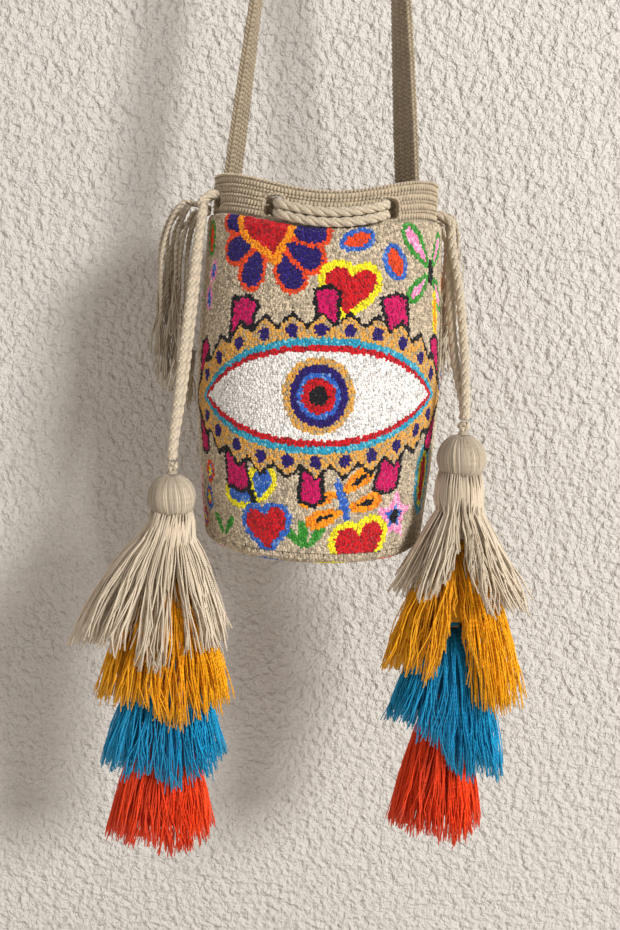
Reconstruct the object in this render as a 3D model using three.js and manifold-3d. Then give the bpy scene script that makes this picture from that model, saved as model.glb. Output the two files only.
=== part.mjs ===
// A crocheted mochila bucket bag with a tufted pile wall, hung by its woven shoulder strap.
// Two drawstrings run round the neck through six eyelets. Both ends of each leave by one side
// eyelet and hang down to a tassel of four tiers of yarn.
// Millimetres, +Z up. The origin is where the crown of the strap bears on a peg, and the bag's
// front faces -Y. Angles on the wall are measured from the front towards +X, in degrees.
import * as THREE from "three";
import { mergeVertices } from "three/addons/utils/BufferGeometryUtils.js";
import Module from "manifold-3d";

const wasm = await Module();
wasm.setup();

// Bag: half sizes of the crocheted wall's outer face at four heights over the base seam.
const seamHalfWidth = 83, seamHalfDepth = 80;
const bellyHalfWidth = 91, bellyHalfDepth = 82, bellyHeight = 115;
const neckHalfWidth = 85.6, neckHalfDepth = 64, neckHeight = 235;
const rimHalfWidth = 84.4, rimHalfDepth = 60;
const wallHeight = 271; // from the base seam to the rim, at the sides
const rimSag = 15; // how far the rim dips at the front and the back
const sagPower = 4; // of the cosine that the dip follows round the rim
const baseDrop = 13; // from the base seam down to the flat of the base
const wallThickness = 3;
const flatShare = 0.52; // of the base's half sizes that lies flat
const wallSegments = 28;

// Crocheted rim rows, above the pile.
const ribCount = 4, ribPitch = 7, ribDepth = 1.1;

// Tufted pile on the wall and under the base.
const pileHeight = 4.5;
const seatGap = 0.3; // between a piece and what it lies on
const fieldGap = 0.3; // between two fields of pile
const pileTopBelowRim = 29;

// The pattern on the pile is an eye, with blocks that stand out above and below it.
const eyeHeight = 116; // of its middle over the base seam
const eyeLean = 3.6, eyeDroop = 4.5; // at 100 mm from its middle: rise of its right side, and fall of both
const lensPower = 2.15, bandPower = 2.6, lensSteps = 12, zigzagSteps = 22;
const whiteLength = 99, whiteHeight = 32.5; // half sizes of the white of the eye
const redWidth = 4.8, turquoiseWidth = 5.3, goldWidth = 12; // of the lines and the band round it
const goldTip = 19.5; // width of the gold band at the eye's corners
const zigzag = 4.2; // height of the gold band's teeth
const white = { length: whiteLength, height: whiteHeight };
const redLine = { length: white.length + redWidth, height: white.height + redWidth };
const turquoiseLine = { length: redLine.length + turquoiseWidth, height: redLine.height + turquoiseWidth };
const goldBand = { length: turquoiseLine.length + goldTip, height: turquoiseLine.height + goldWidth, zigzag };
const outlineWidth = 3;
const irisRadii = [6.8, 12, 15.6, 20.8, 26]; // half widths
const irisTall = 1.1; // height of the iris over its width
const irisNames = ["pupil_black", "iris_red", "iris_blue", "iris_navy", "iris_gold"];
const upperBlocks = [-0.87, -0.5, 0.03, 0.47, 0.86], lowerBlocks = [-0.87, -0.52, -0.025, 0.475, 0.87];
const blockWidths = [13, 21.5, 15.5, 21, 13], blockLength = 25;
const heartSize = 17; // half the width of a heart

// Eyelets and the two drawstrings.
const cordRadius = 3.25;
const cordGap = 0.5; // between the two drawstrings
const eyeletWidth = 21, eyeletHeight = 17.8, eyeletCorner = 2;
const eyeletBelowRim = 18;
const frontTurn = 3, sideTurn = 6.6; // the eyelets are turned this far
const frontEyelet = 29, sideEyelet = 78.5;
const crossingSpan = 5.6; // half the angle in which a drawstring crosses the wall
const exitReach = 12, exitDrop = 12; // from the side eyelet to the end of the cord's bend

// Shoulder strap.
const strapWidth = 24, strapThickness = 6, strapEdge = 1.8;
const strapRise = 500; // from the rim at the sides up to the crown's bearing face
const strapSewn = 42; // length sewn to the inside of the wall
const strapBack = 18; // the crown lies this far behind the bag's middle
const crownRadius = 15;
const leftStrapAngle = -103, rightStrapAngle = 121;
const strapBulge = 1; // how far each side of the loop bows out
const leftTwist = 2.4, rightTwist = 1.5; // how fast the strap turns depthwise above the rim

// Fringe: the strap's warp ends, plied into cords, come out under the rim rows.
const fringeRadius = 1.8, fringeKnotRadius = 5, fringeBelowRim = 24;
const leftFringeAngle = -90, rightFringeAngle = 103;

// Tassels.
const beadRadius = 14.5, beadBore = 2.4, coverThickness = 3.2;
const knotRadius = 5.2, tieRadius = 1.1, coreRadius = 1.5;
const headRadius = 7.5, neckRadius = 5.8, headLength = 14;
const skirtThickness = 6.5, depthShare = 0.72, fluteDepth = 0.05;
// Powers of a skirt's spread: under 1, the yarns leave their tie nearly level and then fall.
const leftFirstSpread = 0.6, rightFirstSpread = 0.95, lowerSpread = 0.5;
const partingWidth = 22; // degrees to each side of the front
const tasselSegments = 20;

const rad = THREE.MathUtils.degToRad;
const deg = THREE.MathUtils.radToDeg;
const smooth = (t) => THREE.MathUtils.smoothstep(t, 0, 1);

// Solids and geometry

function toSolid(geometry) {
  const bare = new THREE.BufferGeometry();
  bare.setAttribute("position", geometry.getAttribute("position"));
  if (geometry.index) bare.setIndex(geometry.index);
  const merged = mergeVertices(bare, 1e-4);
  const vertProperties = merged.attributes.position.array;
  const triVerts = new Uint32Array(merged.index.array);
  return new wasm.Manifold(new wasm.Mesh({ numProp: 3, vertProperties, triVerts }));
}

function toGeometry(solid) {
  const mesh = solid.getMesh();
  const geometry = new THREE.BufferGeometry();
  const position = new Float32Array(mesh.numVert * 3);
  for (let i = 0; i < mesh.numVert; i++) {
    const from = i * mesh.numProp;
    position.set(mesh.vertProperties.subarray(from, from + 3), i * 3);
  }
  geometry.setAttribute("position", new THREE.BufferAttribute(position, 3));
  geometry.setIndex(new THREE.BufferAttribute(mesh.triVerts, 1));
  geometry.computeVertexNormals();
  return geometry;
}

// Skins a list of rings that have the same number of points, counterclockwise seen from the
// last ring. The ends are closed to their middles, or joined to each other for a loop. Each
// patch is split from its lower left to its upper right, so that nested skins fit each other.
function loft(rings, loop = false) {
  const count = rings[0].length;
  const position = rings.flat().flatMap((p) => [p.x, p.y, p.z]);
  const index = [];
  const at = (ring, k) => (ring % rings.length) * count + (k % count);
  for (let r = 0; r < rings.length - (loop ? 0 : 1); r++) {
    for (let k = 0; k < count; k++) {
      const a = at(r, k), b = at(r, k + 1), c = at(r + 1, k + 1), d = at(r + 1, k);
      const rising = position[3 * a + 2] <= position[3 * d + 2];
      index.push(...(rising ? [a, b, c, a, c, d] : [a, b, d, b, c, d]));
    }
  }
  if (!loop) {
    for (const [ring, turn] of [[0, -1], [rings.length - 1, 1]]) {
      const middle = rings[ring].reduce((sum, p) => sum.add(p), new THREE.Vector3());
      middle.divideScalar(count);
      position.push(middle.x, middle.y, middle.z);
      const tip = position.length / 3 - 1;
      for (let k = 0; k < count; k++) {
        const edge = [at(ring, k), at(ring, k + 1)];
        index.push(...(turn > 0 ? edge : edge.reverse()), tip);
      }
    }
  }
  const geometry = new THREE.BufferGeometry();
  geometry.setAttribute("position", new THREE.Float32BufferAttribute(position, 3));
  geometry.setIndex(index);
  return geometry;
}

// A round cord along a curve.
function cordAlong(points, radius, steps, sides = 8) {
  const section = new THREE.Shape();
  section.absarc(0, 0, radius, 0, 2 * Math.PI);
  const extrudePath = new THREE.CatmullRomCurve3(points);
  const settings = { steps, extrudePath, bevelEnabled: false, curveSegments: sides / 2 };
  return new THREE.ExtrudeGeometry(section, settings);
}

// Bag surface

const rimZ = baseDrop + wallHeight;
const wallStations = [0, bellyHeight, neckHeight, wallHeight];
const through = (values) => {
  const curve = new THREE.CubicInterpolant(wallStations, values, 1);
  return (height) => curve.evaluate(THREE.MathUtils.clamp(height, 0, wallHeight))[0];
};
const halfWidth = through([seamHalfWidth, bellyHalfWidth, neckHalfWidth, rimHalfWidth]);
const halfDepth = through([seamHalfDepth, bellyHalfDepth, neckHalfDepth, rimHalfDepth]);

// A point on the wall: angle from the front, height above the seam, distance outside the crochet.
function wallPoint(angle, height, out) {
  const turn = rad(angle);
  const dip = rimSag * Math.cos(turn) ** sagPower * (height / wallHeight) ** 2;
  return new THREE.Vector3(
    (halfWidth(height) + out) * Math.sin(turn),
    -(halfDepth(height) + out) * Math.cos(turn),
    baseDrop + height - dip,
  );
}

function wallNormal(angle, height) {
  const turn = rad(angle);
  const normal = new THREE.Vector3(Math.sin(turn) / halfWidth(height), -Math.cos(turn) / halfDepth(height), 0);
  return normal.normalize();
}

const around = (pointAt) =>
  Array.from({ length: wallSegments }, (_, k) => pointAt((360 * k) / wallSegments));
const wallRing = (height, out) => around((angle) => wallPoint(angle, height, out));

// A ring under the base: share of the seam's half sizes, and height.
const baseRing = (share, z, out = 0) =>
  around((angle) => {
    const turn = rad(angle);
    const x = (seamHalfWidth * share + out) * Math.sin(turn);
    return new THREE.Vector3(x, -(seamHalfDepth * share + out) * Math.cos(turn), z);
  });

// The base curves up to the seam in these steps: share of the seam's size, and share of the rise.
const baseCurve = [[flatShare, 0], [0.8, 0.11], [0.93, 0.34]];

// One piece of crochet: base, wall and rim rows, with six eyelets.
function crochetBucket() {
  const under = pileHeight + seatGap;
  const curveZ = (rise) => under + rise * (baseDrop - under);
  const rings = baseCurve.map(([share, rise]) => baseRing(share, curveZ(rise)));
  const ribsStart = wallHeight - ribCount * ribPitch;
  for (const share of pileStations) rings.push(wallRing(pileAt(share), 0));
  for (let rib = 0; rib < ribCount; rib++) {
    const foot = ribsStart + rib * ribPitch;
    rings.push(wallRing(foot, 0), wallRing(foot + 0.55 * ribPitch, ribDepth));
  }
  rings.push(wallRing(wallHeight, 0.2 * ribDepth), wallRing(wallHeight, -wallThickness));
  for (const share of [0.85, 0.5, 0.15]) {
    rings.push(wallRing(share * wallHeight, -wallThickness));
  }
  for (const [share, rise] of [...baseCurve].reverse()) {
    rings.push(baseRing(share, curveZ(rise) + wallThickness, -wallThickness));
  }
  let solid = toSolid(loft(rings));
  for (const angle of eyeletAngles) solid = solid.subtract(eyeletCutter(angle));
  return toGeometry(solid);
}

const eyeletAt = wallHeight - eyeletBelowRim;
const eyeletAngles = [
  sideTurn - sideEyelet, frontTurn - frontEyelet, frontTurn + frontEyelet, sideTurn + sideEyelet,
  frontTurn + 180 - frontEyelet, frontTurn + 180 + frontEyelet,
];

// The left tassel's drawstring lies above the right tassel's.
const stackRise = cordRadius + cordGap / 2; // half the distance between the two drawstrings
const leftExit = { angle: eyeletAngles[0], rise: stackRise };
const rightExit = { angle: eyeletAngles[3], rise: -stackRise };

function eyeletCutter(angle) {
  const w = eyeletWidth / 2, h = eyeletHeight / 2, c = eyeletCorner;
  const outline = new THREE.Shape();
  outline.moveTo(-w + c, -h).lineTo(w - c, -h).quadraticCurveTo(w, -h, w, -h + c).lineTo(w, h - c);
  outline.quadraticCurveTo(w, h, w - c, h).lineTo(-w + c, h).quadraticCurveTo(-w, h, -w, h - c);
  outline.lineTo(-w, -h + c).quadraticCurveTo(-w, -h, -w + c, -h);
  const depth = 6 * wallThickness;
  const slot = new THREE.ExtrudeGeometry(outline, { depth, bevelEnabled: false, curveSegments: 2 });
  slot.translate(0, 0, -depth / 2);
  const normal = wallNormal(angle, eyeletAt);
  const up = new THREE.Vector3(0, 0, 1);
  const basis = new THREE.Matrix4().makeBasis(up.clone().cross(normal), up, normal);
  slot.applyMatrix4(basis.setPosition(wallPoint(angle, eyeletAt, 0)));
  return toSolid(slot);
}

// Tufted pile

const pileOuter = seatGap + pileHeight;
const pileTop = wallHeight - pileTopBelowRim;
const pileStations = [0, 0.1, 0.4, 0.72, 0.985];
const pileAt = (share) => fieldGap + share * (pileTop - fieldGap);

function wallPile() {
  const outside = pileStations.map((share, i) => wallRing(pileAt(share), i ? pileOuter : pileOuter - 1));
  const inside = [...pileStations].reverse().map((share) => wallRing(pileAt(share), seatGap));
  const top = [wallRing(pileTop, seatGap + 0.7 * pileHeight), wallRing(pileTop, seatGap)];
  return toSolid(loft([...outside, ...top, ...inside], true));
}

// The base's pile: a dish under the crochet, flat in the middle.
function basePile() {
  const rings = [baseRing(flatShare, 0), baseRing(0.82, 0.05 * baseDrop), baseRing(0.97, 0.28 * baseDrop)];
  rings.push(baseRing(1, 0.62 * baseDrop, 0.75 * pileHeight));
  rings.push(baseRing(1, baseDrop - fieldGap, pileOuter - 1), baseRing(1, baseDrop - fieldGap, seatGap));
  for (const [share, rise] of [...baseCurve].reverse()) {
    rings.push(baseRing(share, pileHeight + rise * (baseDrop - pileHeight - seatGap)));
  }
  return loft(rings);
}

// A place in the pattern: s is the way round the belly from the front, h the height above the seam.
const patternRadius = bellyHalfWidth + pileOuter;
const patternPoint = (s, h, out) => wallPoint(deg(s / patternRadius), h, out);
const eyeAxis = (s) => eyeHeight + eyeLean * (s / 100) - eyeDroop * (s / 100) ** 2;
const cutInner = -6, cutOuter = 12; // a cutter reaches this far inside and outside the crochet

// A cutter for a pointed oval, whose upper and lower edges may be zigzag.
function lensCutter({ length, height, zigzag = 0 }, grow = 0) {
  const steps = zigzag ? zigzagSteps : lensSteps;
  const rings = [];
  for (let i = 0; i <= steps; i++) {
    const t = (2 * i) / steps - 1;
    const tooth = zigzag * (i % 2 ? 1 : -1) * Math.min(1, 4 * (1 - Math.abs(t)));
    const power = zigzag ? bandPower : lensPower;
    const half = Math.max(0.1, height * (1 - Math.abs(t) ** power) + tooth + grow);
    const corners = [[-half, cutOuter], [-half, cutInner], [half, cutInner], [half, cutOuter]];
    const s = t * (length + grow);
    rings.push(corners.map(([dh, out]) => patternPoint(s, eyeAxis(s) + dh, out)));
  }
  return toSolid(loft(rings));
}

// A cutter for a small outline of [s, h] points, counterclockwise seen from outside.
function outlineCutter(points, grow = 0) {
  const middle = points.reduce((sum, p) => sum.add(new THREE.Vector2(...p)), new THREE.Vector2());
  middle.divideScalar(points.length);
  const grown = points.map(([s, h]) => {
    const arm = new THREE.Vector2(s, h).sub(middle);
    return arm.setLength(arm.length() + grow).add(middle);
  });
  const ring = (out) => grown.map((p) => patternPoint(p.x, p.y, out));
  return toSolid(loft([ring(cutInner), ring(cutOuter)]));
}

const irisOutline = (radius, count = 16) =>
  Array.from({ length: count }, (_, k) => {
    const turn = (2 * Math.PI * k) / count;
    return [radius * Math.cos(turn), eyeHeight + irisTall * radius * Math.sin(turn)];
  });

// A block's foot lies inside the gold band's edge, which cuts it.
function blockOutline(s, width, side) {
  const t = Math.abs(s) / goldBand.length;
  const foot = goldBand.height * (1 - t ** bandPower) - outlineWidth;
  const lean = -0.16 * Math.sign(s) * Math.min(1, 4 * t) * blockLength;
  const corners = [[-0.5, 0], [0.5, 0], [0.5, 0.88], [0.1, 1], [-0.5, 0.9]];
  const points = corners.map(([across, along]) => [
    s + across * width * (0.75 + 0.25 * along) + lean * along,
    eyeAxis(s) + side * (foot + along * (blockLength + outlineWidth)),
  ]);
  return side > 0 ? points : points.reverse();
}

function heartOutline(s, h, size, lean) {
  const count = 14, c = Math.cos(rad(lean)), d = Math.sin(rad(lean));
  return Array.from({ length: count }, (_, k) => {
    const t = (-2 * Math.PI * k) / count;
    const x = Math.sin(t) ** 3;
    const y = (13 * Math.cos(t) - 5 * Math.cos(2 * t) - 2 * Math.cos(3 * t) - Math.cos(4 * t)) / 16;
    return [s + size * (x * c - y * d), h + size * (x * d + y * c)];
  });
}

// The seam cuts the tip of a lower heart, the pile's top cuts the lobes of an upper one, and the
// other upper heart stands behind a block.
const hearts = {
  heart_lower_left: heartOutline(-2.25 * heartSize, heartSize, 1.04 * heartSize, 8),
  heart_lower_right: heartOutline(2.3 * heartSize, 0.32 * heartSize, 1.25 * heartSize, 12),
  heart_upper_left: heartOutline(-2.68 * heartSize, pileTop - 0.25 * heartSize, 1.3 * heartSize, 20),
  heart_upper_right: heartOutline(1.18 * heartSize, pileTop - 2.7 * heartSize, 1.15 * heartSize, -8),
};

function tuftedFields() {
  const pile = wallPile();
  const half = fieldGap / 2;
  const lens = lensCutter;
  const blocks = {};
  upperBlocks.forEach((share, i) => {
    blocks[`block_upper_${i + 1}`] = blockOutline(share * goldBand.length, blockWidths[i], 1);
  });
  lowerBlocks.forEach((share, i) => {
    blocks[`block_lower_${i + 1}`] = blockOutline(share * goldBand.length, blockWidths[i], -1);
  });
  let black = lens(goldBand, outlineWidth - half);
  let island = lens(goldBand, outlineWidth + half);
  for (const outline of Object.values(blocks)) {
    black = black.add(outlineCutter(outline, outlineWidth - half));
    island = island.add(outlineCutter(outline, outlineWidth + half));
  }
  const fields = {};
  let ground = pile.subtract(island);
  const bandEdge = lens(goldBand, outlineWidth - half);
  black = black.subtract(lens(goldBand, half));
  for (const [name, outline] of Object.entries(blocks)) {
    black = black.subtract(outlineCutter(outline, half).subtract(bandEdge));
    const field = outlineCutter(outline, -half).subtract(lens(goldBand, outlineWidth + half));
    fields[name] = pile.intersect(field);
  }
  fields.outline_black = pile.intersect(black);
  fields.gold_band = pile.intersect(lens(goldBand, -half).subtract(lens(turquoiseLine, half)));
  fields.line_turquoise = pile.intersect(lens(turquoiseLine, -half).subtract(lens(redLine, half)));
  fields.line_red = pile.intersect(lens(redLine, -half).subtract(lens(white, half)));
  const iris = (i, grow) => outlineCutter(irisOutline(irisRadii[i]), grow);
  fields.eye_white = pile.intersect(lens(white, -half).subtract(iris(irisRadii.length - 1, half)));
  irisNames.forEach((name, i) => {
    fields[name] = pile.intersect(i ? iris(i, -half).subtract(iris(i - 1, half)) : iris(i, -half));
  });
  for (const [name, outline] of Object.entries(hearts)) {
    ground = ground.subtract(outlineCutter(outline, half));
    fields[name] = pile.intersect(outlineCutter(outline, -half)).subtract(island);
  }
  return { wall_pile_ground: ground, ...fields };
}

// Drawstrings

// The flat strap lies across the curved wall: its middle stands off the wall by this much.
const wallCurve = rimHalfDepth ** 2 / rimHalfWidth;
const strapBow = 0.6 + (strapWidth / 2) ** 2 / (2 * wallCurve);

const outerRun = ribDepth + seatGap + cordRadius; // of a cord's middle outside the wall
const innerRun = wallThickness + strapBow + strapThickness + 2 * seatGap + cordRadius;
const neckSteps = 60; // places in a drawstring's route round the neck
const turnIn = 11; // the angle in which a cord leaves its exit eyelet and takes its run
const crossingSag = 3.4; // of the drawstrings between the two front eyelets

function runOffset(angle) {
  const outside = (middle) => {
    const away = Math.abs(THREE.MathUtils.euclideanModulo(angle - middle + 180, 360) - 180);
    return smooth((frontEyelet + crossingSpan - away) / (2 * crossingSpan));
  };
  return THREE.MathUtils.lerp(-innerRun, outerRun, Math.max(outside(frontTurn), outside(frontTurn + 180)));
}

// Where the hanging cords of one side pivot: below their eyelet, outside the pile.
function pivotOf({ angle, rise }) {
  const place = wallPoint(angle, eyeletAt, 0).addScaledVector(wallNormal(angle, eyeletAt), exitReach);
  place.z += rise - exitDrop;
  return place;
}

// Both ends of a drawstring leave by the exit eyelet, side by side, and turn down.
function neckDrawstring(exit) {
  const pivot = pivotOf(exit);
  const normal = wallNormal(exit.angle, eyeletAt);
  const alongWall = new THREE.Vector3(-normal.y, normal.x, 0);
  const hole = wallPoint(exit.angle, eyeletAt, -wallThickness / 2);
  hole.z += exit.rise;
  const end = (side) => {
    const apart = new THREE.Vector3(0, side * Math.sign(alongWall.y) * stackRise, 0);
    const seat = pivot.z + cordRadius + seatGap;
    const bend = hole.clone().addScaledVector(normal, 0.6 * exitReach).setZ(hole.z - 1.6);
    return [
      pivot.clone().setZ(seat).add(apart),
      pivot.clone().setZ(seat + 1.5).add(apart),
      bend.add(apart),
      hole.clone().addScaledVector(alongWall, side * stackRise),
    ];
  };
  const route = end(1);
  for (let k = 0; k <= neckSteps; k++) {
    const angle = exit.angle + turnIn + ((360 - 2 * turnIn) * k) / neckSteps;
    const fromMiddle = THREE.MathUtils.euclideanModulo(angle - frontTurn + 180, 360) - 180;
    const sag = crossingSag * Math.max(0, 1 - (fromMiddle / frontEyelet) ** 2);
    const place = wallPoint(angle, eyeletAt - sag, runOffset(angle) + 0.5 * Math.min(1, sag));
    place.z += exit.rise;
    route.push(place);
  }
  route.push(...end(-1).reverse());
  return cordAlong(route, cordRadius, 54);
}

// A hanging cord has a round end in its pivot, and a route down to the knot.
function hangingCord(route) {
  const end = new THREE.SphereGeometry(cordRadius, 8, 4).translate(...route[0].toArray());
  return toGeometry(toSolid(cordAlong(route, cordRadius, 10)).add(toSolid(end)));
}

// Shoulder strap

function strapSection(middle, across, normal) {
  const w = strapWidth / 2, t = strapThickness / 2, e = strapEdge;
  const right = [[w, -t + e], [w, t - e], [w - e, t]];
  const left = [[-w + e, t], [-w, t - e], [-w, -t + e], [-w + e, -t]];
  const corners = [[w - e, -t], ...right, ...left];
  return corners.map(([a, b]) => middle.clone().addScaledVector(across, a).addScaledVector(normal, b));
}

function shoulderStrap() {
  const inside = -(wallThickness + seatGap + strapBow + strapThickness / 2);
  const crownZ = rimZ + strapRise;
  const reach = crownRadius + strapThickness / 2;
  const leg = (angle, side, turning) => {
    const wallAcross = new THREE.Vector3(0, 0, 1).cross(wallNormal(angle, wallHeight)).multiplyScalar(side);
    const stations = [];
    for (const drop of [strapSewn, 0.5 * strapSewn, 2]) {
      stations.push({ middle: wallPoint(angle, wallHeight - drop, inside), twist: 0, wallAcross });
    }
    const foot = wallPoint(angle, wallHeight, inside);
    const head = new THREE.Vector3(side * reach, strapBack, crownZ - crownRadius);
    const steps = 10;
    for (let k = 1; k <= steps; k++) {
      const t = k / steps;
      const middle = foot.clone().lerp(head, t);
      middle.x += side * strapBulge * Math.sin(Math.PI * t) * (1 - t);
      stations.push({ middle, twist: Math.min(1, turning * t), wallAcross });
    }
    return stations;
  };
  const crown = [];
  for (const turn of [150, 120, 90, 60, 30]) {
    const middle = new THREE.Vector3(reach * Math.cos(rad(turn)), strapBack, reach * Math.sin(rad(turn)));
    middle.z += crownZ - crownRadius;
    crown.push({ middle, twist: 1, wallAcross: new THREE.Vector3(0, 1, 0) });
  }
  const stations = leg(leftStrapAngle, -1, leftTwist);
  stations.push(...crown, ...leg(rightStrapAngle, 1, rightTwist).reverse());
  const depthwise = new THREE.Vector3(0, 1, 0);
  const rings = stations.map(({ middle, twist, wallAcross }, i) => {
    const before = stations[Math.max(i - 1, 0)].middle;
    const after = stations[Math.min(i + 1, stations.length - 1)].middle;
    const along = after.clone().sub(before).normalize();
    const across = wallAcross.clone().lerp(depthwise, smooth(twist));
    across.addScaledVector(along, -across.dot(along)).normalize();
    return strapSection(middle, across, along.clone().cross(across));
  });
  return loft(rings);
}

// Each fringe cord is [how far out, how far along the wall, where it ends below the knot], and
// starts on the knot at [how far along the wall, how high].
const fringeRoots = [[-2.3, 2.2], [2.3, 2.2], [-2.3, -1.8], [2.3, -1.8], [0, -4.6]];
const leftFringe = [[33, -14, -38], [36, 0, -66], [24, -16, -80], [19, 8, -96], [11, -4, -112]];
const rightFringe = [[14, -10, -28], [18, 12, -46], [12, -4, -64], [16, 8, -84]];

function strapFringe(angle, cords) {
  const at = wallHeight - fringeBelowRim;
  const normal = wallNormal(angle, at);
  const alongWall = new THREE.Vector3(-normal.y, normal.x, 0);
  const root = wallPoint(angle, at, ribDepth + seatGap + fringeKnotRadius);
  let solid = toSolid(new THREE.SphereGeometry(fringeKnotRadius, 8, 6).translate(...root.toArray()));
  cords.forEach(([out, along, drop], i) => {
    const place = (o, a, z) =>
      root.clone().addScaledVector(normal, o).addScaledVector(alongWall, a).add(new THREE.Vector3(0, 0, z));
    const [a, z] = fringeRoots[i];
    const route = [place(0.3 * fringeKnotRadius, a, z), place(0.5 * out, 0.5 * along + 1.5 * a, 2 * z)];
    route.push(place(0.93 * out, 0.8 * along + a, 0.3 * drop), place(out, along, drop));
    solid = solid.add(toSolid(cordAlong(route, fringeRadius, 5, 6)));
  });
  return toGeometry(solid);
}

// Tassels. The skirts' sizes are shares of the bead's radius, measured from its middle. A slant is
// how much higher the hem is in the middle than at its right.
function tiers(shares) {
  const scaled = (value) => (Array.isArray(value) ? value.map(scaled) : value * beadRadius);
  const sizes = (tier) => Object.fromEntries(Object.entries(tier).map(([key, value]) => [key, scaled(value)]));
  return Object.fromEntries(Object.entries(shares).map(([name, tier]) => [name, sizes(tier)]));
}

const ballRadius = beadRadius + seatGap + coverThickness;
const knotAboveBead = ballRadius + seatGap + knotRadius;
const leftTassel = {
  bead: new THREE.Vector3(-107.4, -50, 42.9),
  firstSpread: leftFirstSpread,
  skirts: tiers({
    beige: { bottom: -8.1, half: 4.8, shift: [-1.05, -0.2], hem: 0.34 },
    yellow: { top: -3.8, bottom: -11.5, half: 4.0, shift: [-0.28, -0.28], hem: 0.28, slant: 0.25 },
    teal: { top: -7.9, bottom: -14.9, half: 3.7, shift: [-0.14, -0.28], hem: 0.28 },
    red: { top: -11.5, bottom: -18.9, half: 3.05, shift: [-0.28, -0.28], hem: 0.2 },
  }),
};
const rightTassel = {
  bead: new THREE.Vector3(107.8, -57, 82.2),
  firstSpread: rightFirstSpread,
  skirts: tiers({
    beige: { bottom: -7.8, half: 4.4, shift: [0.2, -0.4], hem: 0.28, parting: 3.0, slant: 0.4 },
    yellow: { top: -4.3, bottom: -13.3, half: 4.4, shift: [0.1, -0.34], hem: 0.4, parting: 5.2, slant: 1.0 },
    teal: { top: -8.4, bottom: -17.2, half: 3.8, shift: [-0.2, -0.34], hem: 0.34, slant: 1.6 },
    red: { top: -12.5, bottom: -20.1, half: 2.6, shift: [-0.24, -0.34], hem: 0.2 },
  }),
};

const roundRing = (bead, r, z) =>
  Array.from({ length: tasselSegments }, (_, k) => {
    const turn = (2 * Math.PI * k) / tasselSegments;
    return new THREE.Vector3(r * Math.cos(turn), r * Math.sin(turn), z).add(bead);
  });

// A ball's rings from its lowest to its highest.
const ballRings = (bead, radius) =>
  [155, 130, 105, 75, 50, 25].map((a) => roundRing(bead, radius * Math.sin(rad(a)), radius * Math.cos(rad(a))));

// A tier's head is pinched by its tie, and its yarns spread below it round an open middle.
function tasselTier(bead, { top, bottom, half, shift, hem, parting = 0, slant = 0 }, power) {
  const neckZ = top - headLength / 2;
  const footZ = neckZ - tieRadius - seatGap;
  const hemAt = (turn) => {
    const fromFront = THREE.MathUtils.euclideanModulo(deg(turn) + 90 + 180, 360) - 180;
    const ragged = hem * Math.sin(3 * turn + 2) + 0.6 * hem * Math.sin(7 * turn + 1);
    const parted = parting * Math.exp(-((fromFront / partingWidth) ** 2));
    return bottom + hem * 1.6 + ragged + parted + slant * (1 - Math.cos(turn));
  };
  const ring = (pointAt) =>
    Array.from({ length: tasselSegments }, (_, k) => {
      const { r, z, spread, flute = 0 } = pointAt((2 * Math.PI * k) / tasselSegments);
      const turn = (2 * Math.PI * k) / tasselSegments;
      const fluted = r * (1 + flute * (k % 2 ? 1 : -1));
      const deep = THREE.MathUtils.lerp(1, depthShare, spread);
      const x = shift[0] * spread + fluted * Math.cos(turn);
      return new THREE.Vector3(x, shift[1] * spread + fluted * deep * Math.sin(turn), z).add(bead);
    });
  const round = (r, z) => roundRing(bead, r, z);
  const skirt = (t, inner) =>
    ring((turn) => {
      const z = THREE.MathUtils.lerp(footZ, hemAt(turn), t);
      const spread = ((footZ - z) / (footZ - bottom)) ** power;
      const r = neckRadius + (half - neckRadius) * spread;
      return { r: inner ? r - skirtThickness * (0.4 + 0.6 * t) : r, z, spread, flute: inner ? 0 : fluteDepth * t };
    });
  const bore = coreRadius + seatGap;
  const outside = [skirt(1), skirt(0.5), skirt(0.16), skirt(0.03), round(neckRadius, footZ)];
  outside.push(round(neckRadius, neckZ));
  const inside = [round(bore, THREE.MathUtils.lerp(footZ, bottom, 0.12)), skirt(0.25, true), skirt(1, true)];
  return { neckZ, bore, round, outside, inside };
}

function plainTier(bead, skirt) {
  const { neckZ, bore, round, outside, inside } = tasselTier(bead, skirt, lowerSpread);
  const head = [round(headRadius, neckZ + 0.25 * headLength), round(0.7 * headRadius, skirt.top)];
  head.push(round(bore, skirt.top));
  return loft([...outside, ...head, ...inside], true);
}

// The first tier's yarns are laid over the bead before they are tied below it.
function beadTier(bead, skirt, power) {
  const top = -ballRadius + headLength / 2 - 1.5;
  const { bore, round, outside, inside } = tasselTier(bead, { ...skirt, top }, power);
  const hole = beadRadius + seatGap;
  const cavity = [round(bore, hole), ...ballRings(bead, hole).reverse(), round(bore, -hole)];
  const ball = [...ballRings(bead, ballRadius), round(bore, ballRadius)];
  return loft([...outside, ...ball, ...cavity, ...inside], true);
}

const tieAt = (bead, z) => {
  const ring = new THREE.TorusGeometry(neckRadius + seatGap + tieRadius, tieRadius, 4, 12);
  return ring.translate(bead.x, bead.y, bead.z + z);
};

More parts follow.
